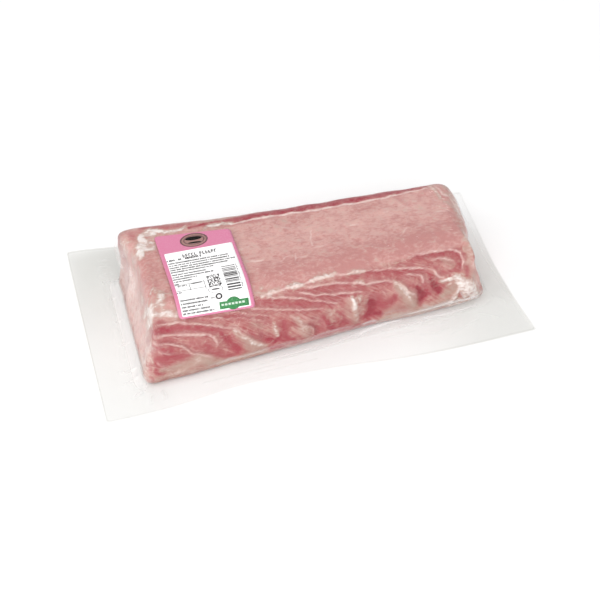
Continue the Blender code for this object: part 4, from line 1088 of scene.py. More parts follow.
def loin_material(settings):
    """Raw pork loin, trimmed with a knife and pressed under film: pale pink lean with fine
    grain, leaves with deep red between them, and dull white fat. It gives a soft, damp look
    with broad highlights, and a ragged edge between lean and fat."""
    material, tree, output = new_material("raw_pork_trimmed_and_pressed")
    place = add_node(tree, "ShaderNodeTexCoord").outputs["Object"]
    grain_place = add_node(tree, "ShaderNodeUVMap", uv_map="grain").outputs["UV"]
    attributes = {name: add_node(tree, "ShaderNodeAttribute", attribute_name=name).outputs["Fac"]
                  for name in ("fat", "tissue", "pale", "deep", "crease", "leaf", "tone")}
    slanted = add_node(tree, "ShaderNodeMapping", {
        "Vector": place, "Rotation": (0.0, 0.0, -0.5), "Scale": (0.55, 1.0, 1.0)}).outputs[0]
    fanned = add_node(tree, "ShaderNodeMapping", {
        "Vector": grain_place, "Scale": (1.0, 0.16, 1.0)}).outputs[0]
    # Fibres of the smooth muscle, 2.2 mm wide and 4 mm long, at a slant along the loin.
    fibre = add_node(tree, "ShaderNodeTexNoise", {
        "Vector": slanted, "Scale": 1.0 / 0.0022, "Detail": 4.0,
        "Roughness": 0.65}).outputs["Fac"]
    # Blotches of redder and paler lean, 10 mm across with fine ragged edges.
    blotch = add_node(tree, "ShaderNodeTexNoise", {
        "Vector": place, "Scale": 1.0 / 0.01, "Detail": 6.0, "Roughness": 0.7,
        "Distortion": 0.6}).outputs["Fac"]
    # Flecks of fat, and painted glints where the meat is damp, 4 mm across.
    fleck = add_node(tree, "ShaderNodeTexNoise", {
        "Vector": slanted, "Scale": 1.0 / 0.0042, "Detail": 5.0, "Roughness": 0.75,
        "Distortion": 0.8}).outputs["Fac"]
    # Layers in the leaves, 2.7 mm apart along the border, following the leaves' fan.
    layers = add_node(tree, "ShaderNodeTexNoise", {
        "Vector": fanned, "Scale": 1.0 / 0.008, "Detail": 4.0, "Roughness": 0.6,
        "Distortion": 0.8}).outputs["Fac"]
    # Sums of patterns on top of an attribute or a number, which break up every edge: the tone of
    # the smooth lean, the ragged edge of fat, and the shares of deep red, tissue and pale skin.
    sums = {"tone": attributes["tone"], "ragged": attributes["fat"],
            "deep": -0.25, "tissue": -0.5, "pale": -0.6}
    for name, pattern, weight in (
            ("tone", blotch, 1.7), ("tone", fleck, 1.6), ("tone", fibre, 1.1),
            ("ragged", fleck, 2.4), ("ragged", blotch, 1.6), ("ragged", fibre, 0.9),
            ("deep", blotch, 2.2), ("tissue", blotch, 1.6), ("tissue", layers, 1.3),
            ("pale", fleck, 3.0)):
        sums[name] = add_node(tree, "ShaderNodeMath", {0: pattern, 1: weight, 2: sums[name]},
                              operation="MULTIPLY_ADD").outputs[0]
    tone = add_node(tree, "ShaderNodeMath", {0: sums["tone"], 1: 2.0}, operation="SUBTRACT",
                    use_clamp=True).outputs[0]
    deep, tissue, pale = (
        add_node(tree, "ShaderNodeMath", {0: sums[name], 1: attributes[name]},
                 operation="MULTIPLY", use_clamp=True).outputs[0]
        for name in ("deep", "tissue", "pale"))
    # Shares cut out of a pattern: from none at the first value to the most at the second.
    pale_flecks_and_glints, leaf_tone, paler, redder, thin_fat, thick_fat = (
        add_node(tree, "ShaderNodeMapRange", {
            "Value": pattern, "From Min": none_at, "From Max": most_at, "To Max": most},
            interpolation_type=shape).outputs[0]
        for pattern, none_at, most_at, most, shape in (
            (fleck, 0.56, 0.74, 0.5, "SMOOTHSTEP"), (blotch, 0.41, 0.6, 1.0, "LINEAR"),
            (layers, 0.5, 0.72, 0.4, "LINEAR"), (layers, 0.48, 0.3, 0.32, "LINEAR"),
            (sums["ragged"], 2.45, 3.25, 0.9, "SMOOTHSTEP"),
            (sums["ragged"], 2.95, 3.95, 0.97, "SMOOTHSTEP")))
    # Coats of colour, one over the other: the smooth lean, the leaves, and then both together
    # under deep red, tissue, thin and thick fat, pale skin, partly painted glints, and the painted
    # shade.
    smooth, leaf = settings.lean_low, settings.leaf_red
    for share, hue in ((tone, settings.lean), (pale_flecks_and_glints, settings.pale)):
        smooth = add_node(tree, "ShaderNodeMix", {0: share, 6: smooth, 7: hue},
                          data_type="RGBA").outputs[2]
    for share, hue in ((leaf_tone, settings.leaf), (paler, settings.pale),
                       (redder, settings.deep)):
        leaf = add_node(tree, "ShaderNodeMix", {0: share, 6: leaf, 7: hue},
                        data_type="RGBA").outputs[2]
    skin = smooth
    for share, hue in ((attributes["leaf"], leaf), (deep, settings.deep),
                       (tissue, settings.tissue), (thin_fat, settings.warm_fat),
                       (thick_fat, settings.fat), (pale, settings.pale),
                       (attributes["crease"], settings.shade)):
        skin = add_node(tree, "ShaderNodeMix", {0: share, 6: skin, 7: hue},
                        data_type="RGBA").outputs[2]
    bump = add_node(tree, "ShaderNodeBump", {
        "Strength": 0.6, "Distance": 0.0008, "Height": blotch})
    bump = add_node(tree, "ShaderNodeBump", {
        "Strength": 0.6, "Distance": 0.0004, "Height": fleck, "Normal": bump.outputs[0]})
    shader = add_node(tree, "ShaderNodeBsdfPrincipled", {
        "Base Color": skin, "Roughness": 0.34, "IOR": 1.4, "Specular IOR Level": 0.4,
        "Normal": bump.outputs[0], "Subsurface Weight": 0.08,
        "Subsurface Radius": (1.0, 0.4, 0.25), "Subsurface Scale": 0.0015})
    tree.links.new(shader.outputs[0], output.inputs["Surface"])
    return material


class PORKLOIN_OT_meat(Operator):
    """Build the loin with its leaves, fat and red hollows"""
    bl_idname = "porkloin.meat"
    bl_label = "Meat"

    def execute(self, context):
        settings = context.scene.porkloin_meat
        rows, triangles = loin_rows()
        xyz, normals = block_form(rows, triangles)
        fields, height = loin_fields(rows)
        scale = settings.edge_relief / LEAF_RELIEF
        xyz = xyz - normals * (CORNER_HOLLOW * pulled_corner(rows))[:, None]
        xyz = xyz + normals * (height * scale)[:, None]
        new_piece(context, "meat", xyz, triangles, loin_material(settings), ["loin"],
                  fields, grain_uv(rows))
        return {"FINISHED"}


# ---------------------------------------------------------------- the films

def flange_rows(foot, height, count, inset=0.0):
    """Loops from the pack's outer edge in to the skirt's foot, straight in plan, lifted near
    the edge by the bell-shaped lifts times the square of the way out.

    The edge lies inside the flange's corners by its trim, and by the inset at the front and
    half of it at the other sides, and its right side bows in by a cosine.
    """
    insets = FLANGE_TRIM + inset * np.array([[1.0, 0.5, 0.5, 0.5]])
    outer, sides, _ = rounded_outlines(FLANGE_CORNERS, insets,
                                       np.array([FLANGE_CORNER_RADIUS]), FILM_COUNTS)
    outer = outer[0]
    turn = outer[:, 1] / FLANGE_CORNERS[BACK, 1] * QUARTER_TURN
    outer[:, 0] -= FLANGE_RIGHT_BOW * sides[:, RIGHT] * np.cos(turn)
    edge = foot.copy()
    edge[:, :2] = outer
    edge[:, 2] = height
    shares = (np.arange(count) / count)[:, None, None]
    loops = edge + (foot - edge) * shares
    loops[..., 2] += (bell_sum(FLANGE_LIFTS, loops[..., 0], loops[..., 1])
                      * (1.0 - shares[..., 0]) ** 2)
    return loops


def skirt_rows(count, height):
    """Loops of the hollow quarter circle where the drawn film leaves the flange."""
    angle = np.linspace(0.0, QUARTER_TURN, count)[:, None]
    outset = SKIRT_GAP + SKIRT_RADIUS * (1.0 - np.sin(angle))
    xy, sides, _ = rounded_outlines(LOIN_CORNERS, np.repeat(-outset, 4, axis=1),
                                    WALL_CORNER_RADIUS + outset[:, 0], FILM_COUNTS)
    z = np.broadcast_to(height + SKIRT_RADIUS * (1.0 - np.cos(angle)), xy.shape[:2])
    shares = np.broadcast_to(sides, (*z.shape, 4))
    return np.concatenate([xy, z[..., None], np.zeros_like(z)[..., None], shares], axis=-1)


def plan_folds(x, y):
    """Height in mm and haze of the loose folds drawn in plan: bell-shaped across each line."""
    height, haze = np.zeros_like(x), np.zeros_like(x)
    for rise, milk, line in PLAN_FOLDS:
        near, away, own = along_line(line, x, y, FOLD_MARGIN)
        across = bell(away, own[:, 0])
        height[near] = np.maximum(height[near], rise * across)
        haze[near] = np.maximum(haze[near], milk * across)
    return height, haze


def flange_grey_and_painted_shade(x, y):
    """How much a place on the flange dims what lies below, from about 0.3 in the middle of the
    front to 1 at the back on the left: it rises to the back and to both ends, and falls again
    at the far right of the back. The front's value is the film's own grey; the rise towards the
    back and the ends is painted shade."""
    back = smooth_step((y + 40.0) / 130.0)
    left = smooth_step((-x - 110.0) / 50.0)
    right = smooth_step((x - 60.0) / 110.0)
    far_right = smooth_step((x - 150.0) / 20.0) * back
    return 0.34 + 0.22 * left + 0.5 * back + 0.5 * right * (1.0 - back) - 0.75 * far_right


def film_material(settings):
    """Clear multilayer barrier film, drawn hot over the meat and shrunk on: it lets the meat
    show, adds sharp small highlights along ridges and folds, greys what lies under the flat
    flange a little, and turns milky where it is stretched or folded."""
    material, tree, output = new_material("clear_barrier_film_drawn_and_shrunk")
    haze = add_node(tree, "ShaderNodeAttribute", attribute_name="haze").outputs["Fac"]
    grey_and_painted_shade = add_node(tree, "ShaderNodeAttribute", attribute_name="grey_and_painted_shade").outputs["Fac"]
    place = add_node(tree, "ShaderNodeTexCoord").outputs["Object"]
    # Slack waves of the film, 9 mm long.
    waves = add_node(tree, "ShaderNodeTexNoise", {
        "Vector": place, "Scale": 1.0 / 0.009, "Detail": 1.0, "Roughness": 0.5})
    bump = add_node(tree, "ShaderNodeBump", {
        "Strength": 0.5, "Distance": 0.0008, "Height": waves.outputs["Fac"]})
    # The tint deepens with the grey attribute, which is partly painted shade.
    see_through = add_node(tree, "ShaderNodeMix", {
        0: grey_and_painted_shade, 6: (1.0, 1.0, 1.0, 1.0), 7: settings.tint},
        data_type="RGBA", clamp_factor=False)
    clear = add_node(tree, "ShaderNodeBsdfTransparent", {"Color": see_through.outputs[2]})
    gloss = add_node(tree, "ShaderNodeBsdfGlossy", {
        "Color": (1.0, 1.0, 1.0, 1.0), "Roughness": 0.1, "Normal": bump.outputs[0]})
    # Reflection of one face of the film: 1% face on, rising with the fifth power towards the
    # edge to 16%, less than a single film's own, so that the sides of the pack stay clear.
    facing = add_node(tree, "ShaderNodeLayerWeight", {"Blend": 0.5, "Normal": bump.outputs[0]})
    grazing = add_node(tree, "ShaderNodeMath", {0: facing.outputs["Facing"], 1: 5.0},
                       operation="POWER")
    fresnel = add_node(tree, "ShaderNodeMath", {0: grazing.outputs[0], 1: 0.15, 2: 0.01},
                       operation="MULTIPLY_ADD")
    glazed = add_node(tree, "ShaderNodeMixShader", {
        0: fresnel.outputs[0], 1: clear.outputs[0], 2: gloss.outputs[0]})
    # The white haze is milky film, and on the foot's strands also painted glints.
    milk = add_node(tree, "ShaderNodeBsdfDiffuse", {"Color": settings.haze})
    shader = add_node(tree, "ShaderNodeMixShader", {
        0: haze, 1: glazed.outputs[0], 2: milk.outputs[0]})
    tree.links.new(shader.outputs[0], output.inputs["Surface"])
    return material


class PORKLOIN_OT_films(Operator):
    """Build the drawn film over the meat and the flat film below it"""
    bl_idname = "porkloin.films"
    bl_label = "Films"

    def execute(self, context):
        settings = context.scene.porkloin_film
        material = film_material(settings)
        self.drawn_film(context, settings, material)
        self.flat_film(context, material)
        return {"FINISHED"}

    def drawn_film(self, context, settings, material):
        """The film in one sheet: flange, hollow skirt, then a skin that follows the meat's
        form and bridges its creases."""
        skirt = skirt_rows(9, DRAWN_FILM_LEVEL)
        flange = flange_rows(skirt[0], DRAWN_FILM_LEVEL, 30)
        skin = block_walls(block_levels(0, 12, 40, SKIRT_TOP), FILM_COUNTS)
        top, spine = top_rows(skin[-1], FILM_COUNTS, 26)
        loops = np.concatenate([flange, skirt, skin, top])
        rows, triangles = joined(None, loops, spine, FILM_COUNTS)
        xyz, normals = block_form(rows, triangles)
        _, height = loin_fields(rows)
        x, y, z, way = rows[:, :4].T
        sides = rows[:, 4:]
        loop = np.arange(len(rows)) // loops.shape[1]
        on_flange = (loop < len(flange)).astype(float)
        low = (loop < len(flange) + len(skirt)).astype(float)
        on_skirt = low - on_flange
        on_skin = 1.0 - low
        # Milky strands, partly painted glints, streaks on the left end, the hanging corner, and the
        # foot of the skin.
        strand_glint = stroke_field(STRAND_GLINTS, x, way, 1.2) * on_skin
        streak = np.clip(ripple(y * 2.5, z, 20.0, 33), 0.0, 1.0)
        hung = pulled_corner(rows)
        ends = on_skin * sides[:, LEFT] * smooth_step((-130.0 - x) / 10.0)
        foot = (on_skin * smooth_step((16.0 - way) / 7.0)
                * (sides[:, FRONT] + sides[:, LEFT] * 0.5))
        # The skin clears the meat, and the flange waves near the two ends of the pack.
        fold, milk = plan_folds(x, y)
        lift = (np.maximum(height, -0.5) + settings.cling / MM) * on_skin + 0.6 * strand_glint
        waves = (0.25 * ripple(x, y, 45.0, 31) * on_flange
                 * smooth_step((np.abs(x) - 150.0) / 20.0))
        xyz = xyz + normals * lift[:, None]
        xyz[:, 2] += fold * low + np.clip(waves, 0.0, None)
        skirt_haze = (0.34 * sides[:, LEFT]
                      + 0.16 * sides[:, FRONT] * smooth_step((x + 60.0) / 40.0))
        haze = (0.02 * foot + 0.45 * strand_glint + ends * (0.02 + 0.07 * streak)
                + 0.5 * milk * low + 0.28 * hung * (0.6 + 0.4 * streak)
                + 0.2 * sides[:, LEFT] * smooth_step((x + 172.0) / 12.0) * low
                + skirt_haze * on_skirt)
        # Grey of the flange with its painted shade, of its cut edge, and a painted shade under the
        # front skirt.
        grey_and_painted_shade = flange_grey_and_painted_shade(x, y) * (1.0 - on_skin)
        grey_and_painted_shade[loop == 0] += CUT_EDGE_GREY
        grey_and_painted_shade += 0.3 * on_skirt * sides[:, FRONT] * bell(x - 5.0, 55.0)
        new_piece(context, "drawn_film", xyz, triangles, material, ["top_film"],
                  {"haze": np.clip(haze, 0.0, 1.0), "grey_and_painted_shade": grey_and_painted_shade})

    def flat_film(self, context, material):
        """The lower film in one sheet: the flange's loops again and a flat middle under the
        meat."""
        foot = skirt_rows(2, FLAT_FILM_LEVEL)[0]
        flange = flange_rows(foot, FLAT_FILM_LEVEL, 30, FLAT_FILM_INSET)
        middle, spine = closing_rows(foot, FILM_COUNTS, 3)
        loops = np.concatenate([flange, foot[None], middle])
        rows, triangles = joined(None, loops, spine, FILM_COUNTS)
        xyz = pulled_out(rows[:, :3])
        grey_and_painted_shade = flange_grey_and_painted_shade(xyz[:, 0], xyz[:, 1])
        grey_and_painted_shade[:loops.shape[1]] += CUT_EDGE_GREY
        new_piece(context, "flat_film", xyz, triangles, material, ["base_film"],
                  {"haze": np.zeros(len(xyz)), "grey_and_painted_shade": grey_and_painted_shade})


# ---------------------------------------------------------------- the label

def draped(x, way, clearance):
    """Points above the block's front shoulder and flat top, at a place along and up it: on the
    shoulder's ellipse grown by the clearance, then straight back over the top."""
    bend = way - FOOT_RADIUS * QUARTER_TURN - wall_rise(x, SHOULDER_DOWN[FRONT])
    angle = np.clip(bend / FRONT_SHOULDER_RADIUS, 0.0, QUARTER_TURN)
    past = np.clip(bend - FRONT_SHOULDER_RADIUS * QUARTER_TURN, 0.0, None)
    y = (front_line(x) + WALL_LEAN[FRONT] + (SHOULDER_IN[FRONT] + clearance) * (1.0 - np.cos(angle))
         - clearance + past)
    z = block_height(x) + clearance - (SHOULDER_DOWN[FRONT] + clearance) * (1.0 - np.sin(angle))
    return np.stack([x, y, z], axis=-1)


def in_corners(corners, a, b):
    """Place inside a four-cornered field, by the shares across it and up it."""
    low_left, low_right, high_right, high_left = corners
    a, b = a[..., None], b[..., None]
    return (low_left * (1 - a) * (1 - b) + low_right * a * (1 - b)
            + high_right * a * b + high_left * (1 - a) * b)


def rounded_field(corners, radius, columns, rows, clearance):
    """A draped four-cornered field with round corners: rows get shorter near the ends by the
    circle's formula, radius less the root of radius squared less depth squared."""
    height = np.linalg.norm(corners[3] - corners[0])
    width = np.linalg.norm(corners[1] - corners[0])
    turn = np.linspace(0, QUARTER_TURN, 7)
    b = np.concatenate([radius / height * (1 - np.cos(turn))[:-1],
                        np.linspace(radius / height, 1 - radius / height, rows),
                        1 - radius / height * (1 - np.sin(turn))[1:]])
    depth = np.clip(radius - np.minimum(b, 1 - b) * height, 0.0, radius)
    inset = (radius - np.sqrt(np.clip(radius ** 2 - depth ** 2, 0.0, None))) / width
    a = np.linspace(0.0, 1.0, columns)[None] * (1 - 2 * inset[:, None]) + inset[:, None]
    place = in_corners(corners, a, np.broadcast_to(b[:, None], a.shape))
    xyz = draped(place[..., 0], place[..., 1], clearance).reshape(-1, 3)
    return xyz, cell_triangles(np.arange(a.size).reshape(a.shape))


def ink_plates(quads, clearance):
    """Thin closed plates of ink on the label, from the four corners of each in turn."""
    low = draped(quads[..., 0], quads[..., 1], clearance - 0.12)
    high = draped(quads[..., 0], quads[..., 1], clearance + 0.05)
    xyz = np.concatenate([low, high], axis=1).reshape(-1, 3)
    box = np.array([(0, 2, 1), (0, 3, 2), (4, 5, 6), (4, 6, 7), (0, 1, 5), (0, 5, 4),
                    (1, 2, 6), (1, 6, 5), (2, 3, 7), (2, 7, 6), (3, 0, 4), (3, 4, 7)])
    return xyz, (np.arange(len(quads))[:, None, None] * 8 + box).reshape(-1, 3)


def bars(x0, x1, way, height):
    """Corners of bars that run along the print's slope, from x0 to x1, centred on `way` at
    the panel's left edge."""
    x0, x1, way, height = np.broadcast_arrays(*map(np.atleast_1d, (x0, x1, way, height)))
    way0, way1 = (way + PRINT_SLOPE * (x - PRINT_LEFT) for x in (x0, x1))
    corners = ((x0, way0 - height / 2), (x1, way1 - height / 2),
               (x1, way1 + height / 2), (x0, way0 + height / 2))
    return np.stack([np.stack(corner, -1) for corner in corners], axis=1)


def print_line(x0, x1, way, height, seed):
    """A line of small print as blocks: widths, heights and gaps drawn at random, with wider gaps
    between groups."""
    source = np.random.default_rng(seed)
    count = int((x1 - x0) / (height * 0.62)) + 4
    width = height * source.uniform(0.34, 0.6, count)
    gap = np.where(source.uniform(size=count) < 0.14, height * 0.5, height * 0.13)
    start = x0 + np.concatenate([[0.0], np.cumsum(width + gap)[:-1]])
    keep = start + width < x1
    tall = height * source.choice([0.72, 0.8, 1.0], count)
    return bars(start[keep], (start + width)[keep], way, tall[keep])


def title_blocks(x0, x1, way, height, seed):
    """Large print as loose strokes: an upright every 2.6 mm, with two short arms at heights
    drawn at random."""
    source = np.random.default_rng(seed)
    start = np.arange(x0, x1 - 1.6, 2.6)
    arms = source.choice([-0.4, 0.0, 0.4], (2, len(start))) * height
    return np.concatenate([bars(start, start + 0.75, way, height)]
                          + [bars(start, start + 1.9, way + arm, 0.75) for arm in arms])


def code_plates():
    """A bar code of bars across its column, and a square code of dots, both drawn at random."""
    source = np.random.default_rng(7)
    steps = np.cumsum(source.choice([0.55, 0.8, 1.1, 1.5], 60))
    steps = steps[steps < BAR_CODE_LENGTH]
    starts, ends = steps[:-1:2], steps[1::2][:len(steps[:-1:2])]
    row, column = np.nonzero(source.uniform(size=(15, 12)) < 0.52)
    left = SQUARE_CODE_CORNER[0] + column * CODE_DOT
    way = SQUARE_CODE_CORNER[1] + row * CODE_DOT
    return [bars(*BAR_CODE_SIDES, BAR_CODE_START + (starts + ends) / 2, ends - starts),
            bars(left, left + CODE_DOT, way, CODE_DOT)]


def ellipse_field(centre, half, clearance, turn=0.0, hole=0.0, rings=5, points=48):
    """A draped flat ellipse or ring: rings of points from the hole's share to the full size,
    where an ellipse's first ring is its single middle point."""
    angle = np.linspace(0.0, 2 * np.pi, points, endpoint=False)
    share = np.linspace(hole, 1.0, rings)[:, None]
    u, v = half[0] * share * np.cos(angle), half[1] * share * np.sin(angle)
    x = centre[0] + u * np.cos(turn) - v * np.sin(turn)
    way = centre[1] + u * np.sin(turn) + v * np.cos(turn)
    xyz = draped(x, way, clearance).reshape(-1, 3)
    number = np.arange(rings * points).reshape(rings, points)
    if hole == 0.0:
        number = np.maximum(number - (points - 1), 0)
        xyz = xyz[points - 1:]
    return xyz, ring_triangles(number)[:, ::-1]


def merged(parts):
    """Several meshes as one."""
    points, triangles, start = [], [], 0
    for xyz, faces in parts:
        points.append(xyz)
        triangles.append(faces + start)
        start += len(xyz)
    return np.concatenate(points), np.concatenate(triangles)


def paper_material(settings):
    """Coated label paper, printed pink and die cut: a flat even colour with a faint tooth and a
    satin sheen that dims softly over the bend."""
    material, tree, output = new_material("coated_paper_printed_pink")
    place = add_node(tree, "ShaderNodeTexCoord").outputs["Object"]
    # Paper fibres, drawn at 0.9 mm so that they show.
    tooth = add_node(tree, "ShaderNodeTexNoise", {
        "Vector": place, "Scale": 1.0 / 0.0009, "Detail": 2.0, "Roughness": 0.6})
    share = add_node(tree, "ShaderNodeMapRange", {
        "Value": tooth.outputs["Fac"], "From Min": 0.4, "From Max": 0.75, "To Max": 0.12})
    mixed = add_node(tree, "ShaderNodeMix", {
        0: share.outputs[0], 6: settings.pink, 7: settings.paper}, data_type="RGBA")
    bump = add_node(tree, "ShaderNodeBump", {
        "Strength": 0.15, "Distance": 0.0001, "Height": tooth.outputs["Fac"]})
    shader = add_node(tree, "ShaderNodeBsdfPrincipled", {
        "Base Color": mixed.outputs[2], "Roughness": 0.42, "IOR": 1.5, "Normal": bump.outputs[0]})
    tree.links.new(shader.outputs[0], output.inputs["Surface"])
    return material


def ink_material(name, base, roughness, mottle):
    """Printing ink on coated paper, laid down by rollers: even, with slight patchiness."""
    material, tree, output = new_material(name)
    place = add_node(tree, "ShaderNodeTexCoord").outputs["Object"]
    # Patches of thinner ink, 1.2 mm across, that let the paper show.
    patches = add_node(tree, "ShaderNodeTexNoise", {
        "Vector": place, "Scale": 1.0 / 0.0012, "Detail": 2.0, "Roughness": 0.6})
    share = add_node(tree, "ShaderNodeMapRange", {
        "Value": patches.outputs["Fac"], "From Min": 0.45, "From Max": 0.8, "To Max": mottle})
    mixed = add_node(tree, "ShaderNodeMix", {
        0: share.outputs[0], 6: base, 7: (0.9, 0.88, 0.88, 1.0)}, data_type="RGBA")
    shader = add_node(tree, "ShaderNodeBsdfPrincipled", {
        "Base Color": mixed.outputs[2], "Roughness": roughness, "IOR": 1.5,
        "Specular IOR Level": 0.08})
    tree.links.new(shader.outputs[0], output.inputs["Surface"])
    return material


class PORKLOIN_OT_label(Operator):
    """Build the pink label and its white panel"""
    bl_idname = "porkloin.label"
    bl_label = "Label"

    def execute(self, context):
        settings = context.scene.porkloin_label
        xyz, triangles = rounded_field(LABEL_CORNERS, settings.corner / MM, 34, 60,
                                       LABEL_CLEARANCE)
        piece = new_piece(context, "label_sheet", xyz, triangles, paper_material(settings),
                          ["label"])
        thickened(piece, LABEL_THICKNESS)
        xyz, triangles = rounded_field(PANEL_CORNERS, 1.0, 30, 56, LABEL_CLEARANCE + 0.06)
        white = ink_material("white_ink_on_coated_paper", settings.paper, 0.45, 0.0)
        piece = new_piece(context, "label_panel", xyz, triangles, white)
        thickened(piece, PANEL_THICKNESS)
        return {"FINISHED"}


class PORKLOIN_OT_print(Operator):
    """Print the label: plain blocks for small print, bars, squares, ovals and a banner"""
    bl_idname = "porkloin.print"
    bl_label = "Print"

    def execute(self, context):
        settings = context.scene.porkloin_label
        level = LABEL_CLEARANCE + INK_THICKNESS
        over_badge = level + 0.08
        small = [title_blocks(*title, seed) for seed, title in enumerate(PRINT_TITLES, 1)]
        small += [print_line(*line, seed) for seed, line in enumerate(PRINT_HEADINGS, 3)]
        small += [print_line(*line, 1.6, seed) for seed, line in enumerate(PRINT_LINES, 10)]
        # The ruled table: two lines along it and two across, those in short pieces.
        small += [bars(PRINT_LEFT, -90, [92, 85.2], 0.35),
                  bars(-103.2, -102.8, np.arange(84.6, 91.0, 0.9), 0.95),
                  bars(-90.2, -89.8, np.arange(83.4, 93.0, 0.9), 0.95)]
        small += [print_line(-88, -84.5, 73.8, 1.2, 40)]
        codes = code_plates()
        codes += [print_line(-59.4, -58.2, way, 1.0, seed)
                  for seed, way in enumerate(np.arange(80, 107, 1.6), 60)]
        starts = np.arange(-80.5, -62.0, 3.0)
        white_bars = bars(starts, starts + ([2.2] * 6 + [2.3]), 66.6, 1.7)
        banner = [rounded_field(BANNER_CORNERS, 0.3, 12, 8, level),
                  ellipse_field((-70, 63.2), (6.2, 5.2), level + 0.04, -0.08)]
        badge = [ellipse_field(BADGE_CENTRE, BADGE_HALF, level, BADGE_TURN)]
        rings = [ellipse_field(BADGE_CENTRE, half, over_badge, BADGE_TURN, 0.9, 2)
                 for half in (BADGE_HALF, BADGE_INNER_HALF)]
        ovals = [ellipse_field(*oval, over_badge, BADGE_TURN) for oval in BADGE_OVALS]
        marks = [ellipse_field(OVAL_CENTRE, (6.4, 3.4), level, OVAL_TURN, 0.93, 2, 60),
                 ellipse_field(OVAL_CENTRE, (3.6, 0.7), level, OVAL_TURN),
                 ellipse_field(RING_CENTRE, (3.0, 2.7), level, 0.0, 0.5, 2)]
        # Name, mesh, thickness of an open sheet, then the ink: name, colour, roughness, mottle.
        for name, (xyz, triangles), thickness, *ink in (
                ("label_small_print", ink_plates(np.concatenate(small), level), 0.0,
                 "label_small_print_black_ink", settings.ink, 0.4, 0.3),
                ("label_codes", ink_plates(np.concatenate(codes), level), 0.0,
                 "label_codes_black_ink", settings.ink, 0.4, 0.3),
                ("label_badge", merged(badge), INK_THICKNESS,
                 "brown_ink", settings.badge, 0.4, 0.1),
                ("label_badge_rings", merged(rings), INK_THICKNESS,
                 "dark_brown_ink", linear("6A4F50"), 0.4, 0.1),
                ("label_badge_centre", merged(ovals), INK_THICKNESS,
                 "black_ink", linear("0A0606"), 0.35, 0.05),
                ("label_marks", merged(marks), INK_THICKNESS,
                 "black_ink_line", settings.ink, 0.4, 0.2),
                ("label_banner", merged(banner), INK_THICKNESS,
                 "green_ink", settings.green, 0.4, 0.15),
                ("label_banner_bars", ink_plates(white_bars, level + 0.1), 0.0,
                 "white_ink_on_green", linear("CFE2D2"), 0.4, 0.1)):
            piece = new_piece(context, name, xyz, triangles, ink_material(*ink))
            if thickness:
                thickened(piece, thickness)
        return {"FINISHED"}


# ---------------------------------------------------------------- the studio

def camera_matrix():
    """Matrix of a camera that looks at the target from its azimuth and elevation, rolled about
    its own axis and slid across the view."""
    lift, turn, roll = np.radians([CAMERA_ELEVATION, CAMERA_AZIMUTH, CAMERA_ROLL])
    back = np.array([np.sin(turn) * np.cos(lift), -np.cos(turn) * np.cos(lift), np.sin(lift)])
    right = np.array([np.cos(turn), np.sin(turn), 0.0])
    up = np.cross(back, right)
    right, up = (np.cos(roll) * right - np.sin(roll) * up,
                 np.sin(roll) * right + np.cos(roll) * up)
    place = back * CAMERA_DISTANCE + right * CAMERA_SLIDE[0] + up * CAMERA_SLIDE[1] + CAMERA_TARGET
    return view_matrix(right, up, back, place * MM)


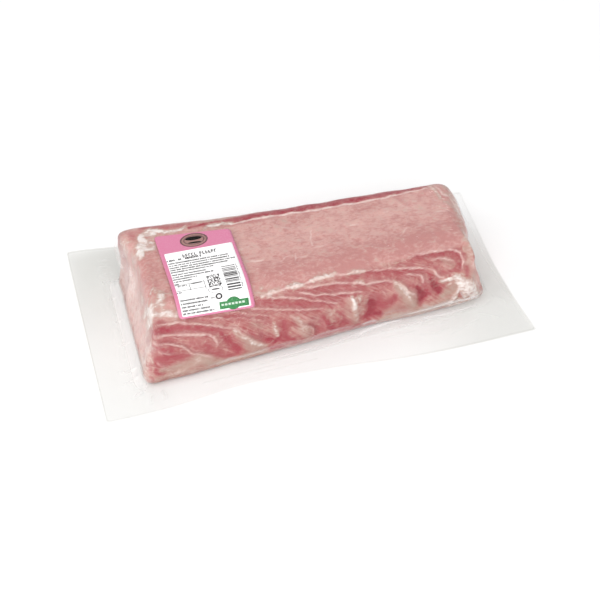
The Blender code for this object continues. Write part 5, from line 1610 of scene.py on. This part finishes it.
class PORKLOIN_OT_stage(Operator):
    """Lay the pack on a pale sheet under a white surround and a large soft light"""
    bl_idname = "porkloin.stage"
    bl_label = "Studio"

    def execute(self, context):
        settings = context.scene.porkloin_studio
        scene = context.scene
        self.add_floor(context, settings)
        for name, place, size, power in (
                ("front_softbox", (-0.4, -1.6, 1.4), 2.0, settings.key),
                ("left_softbox", (-1.5, -0.3, 0.8), 0.9, settings.key * 0.26),
                ("top_glint", (0.1, 0.15, 1.6), 0.25, settings.glint),
                ("back_glint", (0.9, 1.0, 1.3), 0.25, settings.glint)):
            self.add_light(context, name, place, size, power)
        camera = bpy.data.cameras.new("camera")
        camera.sensor_width = 36.0
        camera.lens = 90.0
        camera.clip_end = 20.0
        viewer = bpy.data.objects.new("camera", camera)
        viewer.matrix_world = camera_matrix()
        scene.collection.objects.link(viewer)
        scene.camera = viewer
        world = bpy.data.worlds.new("white_surround")
        world.use_nodes = True
        background = world.node_tree.nodes["Background"]
        background.inputs["Color"].default_value = (1.0, 1.0, 1.0, 1.0)
        background.inputs["Strength"].default_value = settings.surround
        scene.world = world
        scene.view_settings.view_transform = "Standard"
        return {"FINISHED"}

    def add_floor(self, context, settings):
        """A flat square sheet, 6 m wide, just under the pack."""
        size = 3.0
        corners = [(-size, -size, 0.0), (size, -size, 0.0), (size, size, 0.0), (-size, size, 0.0)]
        mesh = bpy.data.meshes.new("floor")
        mesh.from_pydata(corners, [], [(0, 1, 2, 3)])
        material, tree, output = new_material("white_backdrop_paper_matt")
        place = add_node(tree, "ShaderNodeTexCoord").outputs["Object"]
        # Faint tooth of the paper, 2 mm.
        tooth = add_node(tree, "ShaderNodeTexNoise", {
            "Vector": place, "Scale": 1.0 / 0.002, "Detail": 2.0})
        bump = add_node(tree, "ShaderNodeBump", {
            "Strength": 0.05, "Distance": 0.0002, "Height": tooth.outputs["Fac"]})
        shader = add_node(tree, "ShaderNodeBsdfPrincipled", {
            "Base Color": settings.floor, "Roughness": 0.9, "Normal": bump.outputs[0]})
        tree.links.new(shader.outputs[0], output.inputs["Surface"])
        mesh.materials.append(material)
        floor = bpy.data.objects.new("floor", mesh)
        context.scene.collection.objects.link(floor)

    def add_light(self, context, name, place, size, power):
        """A square soft light that faces the pack."""
        light = bpy.data.lights.new(name, "AREA")
        light.size = size
        light.energy = power
        lamp = bpy.data.objects.new(name, light)
        back = np.array(place) / np.linalg.norm(place)
        right = np.cross((0.0, 0.0, 1.0), back)
        right = right / np.linalg.norm(right)
        lamp.matrix_world = view_matrix(right, np.cross(back, right), back, place)
        context.scene.collection.objects.link(lamp)


# ---------------------------------------------------------------- the add-on

STEPS = (PORKLOIN_OT_meat, PORKLOIN_OT_films, PORKLOIN_OT_label, PORKLOIN_OT_print,
         PORKLOIN_OT_stage)
SETTINGS = {
    "porkloin_meat": LoinSettings,
    "porkloin_film": FilmSettings,
    "porkloin_label": LabelSettings,
    "porkloin_studio": StudioSettings,
}


class PORKLOIN_PT_sidebar(Panel):
    """Lists the pork loin's settings and its building steps"""
    bl_idname = "PORKLOIN_PT_sidebar"
    bl_label = "Pork Loin"
    bl_space_type = "VIEW_3D"
    bl_region_type = "UI"
    bl_category = "Pork Loin"

    def draw(self, context):
        for name, group in SETTINGS.items():
            box = self.layout.box()
            settings = getattr(context.scene, name)
            for key in group.__annotations__:
                box.prop(settings, key)
        for step in STEPS:
            self.layout.operator(step.bl_idname)


def register():
    for group in (*SETTINGS.values(), *STEPS, PORKLOIN_PT_sidebar):
        bpy.utils.register_class(group)
    for name, group in SETTINGS.items():
        setattr(bpy.types.Scene, name, PointerProperty(type=group))


def unregister():
    for name in SETTINGS:
        delattr(bpy.types.Scene, name)
    for group in (PORKLOIN_PT_sidebar, *reversed(STEPS), *reversed(SETTINGS.values())):
        bpy.utils.unregister_class(group)


def main():
    register()
    bpy.ops.porkloin.stage()
    bpy.ops.porkloin.meat()
    bpy.ops.porkloin.films()
    bpy.ops.porkloin.label()
    bpy.ops.porkloin.print()


if __name__ == "__main__":
    main()
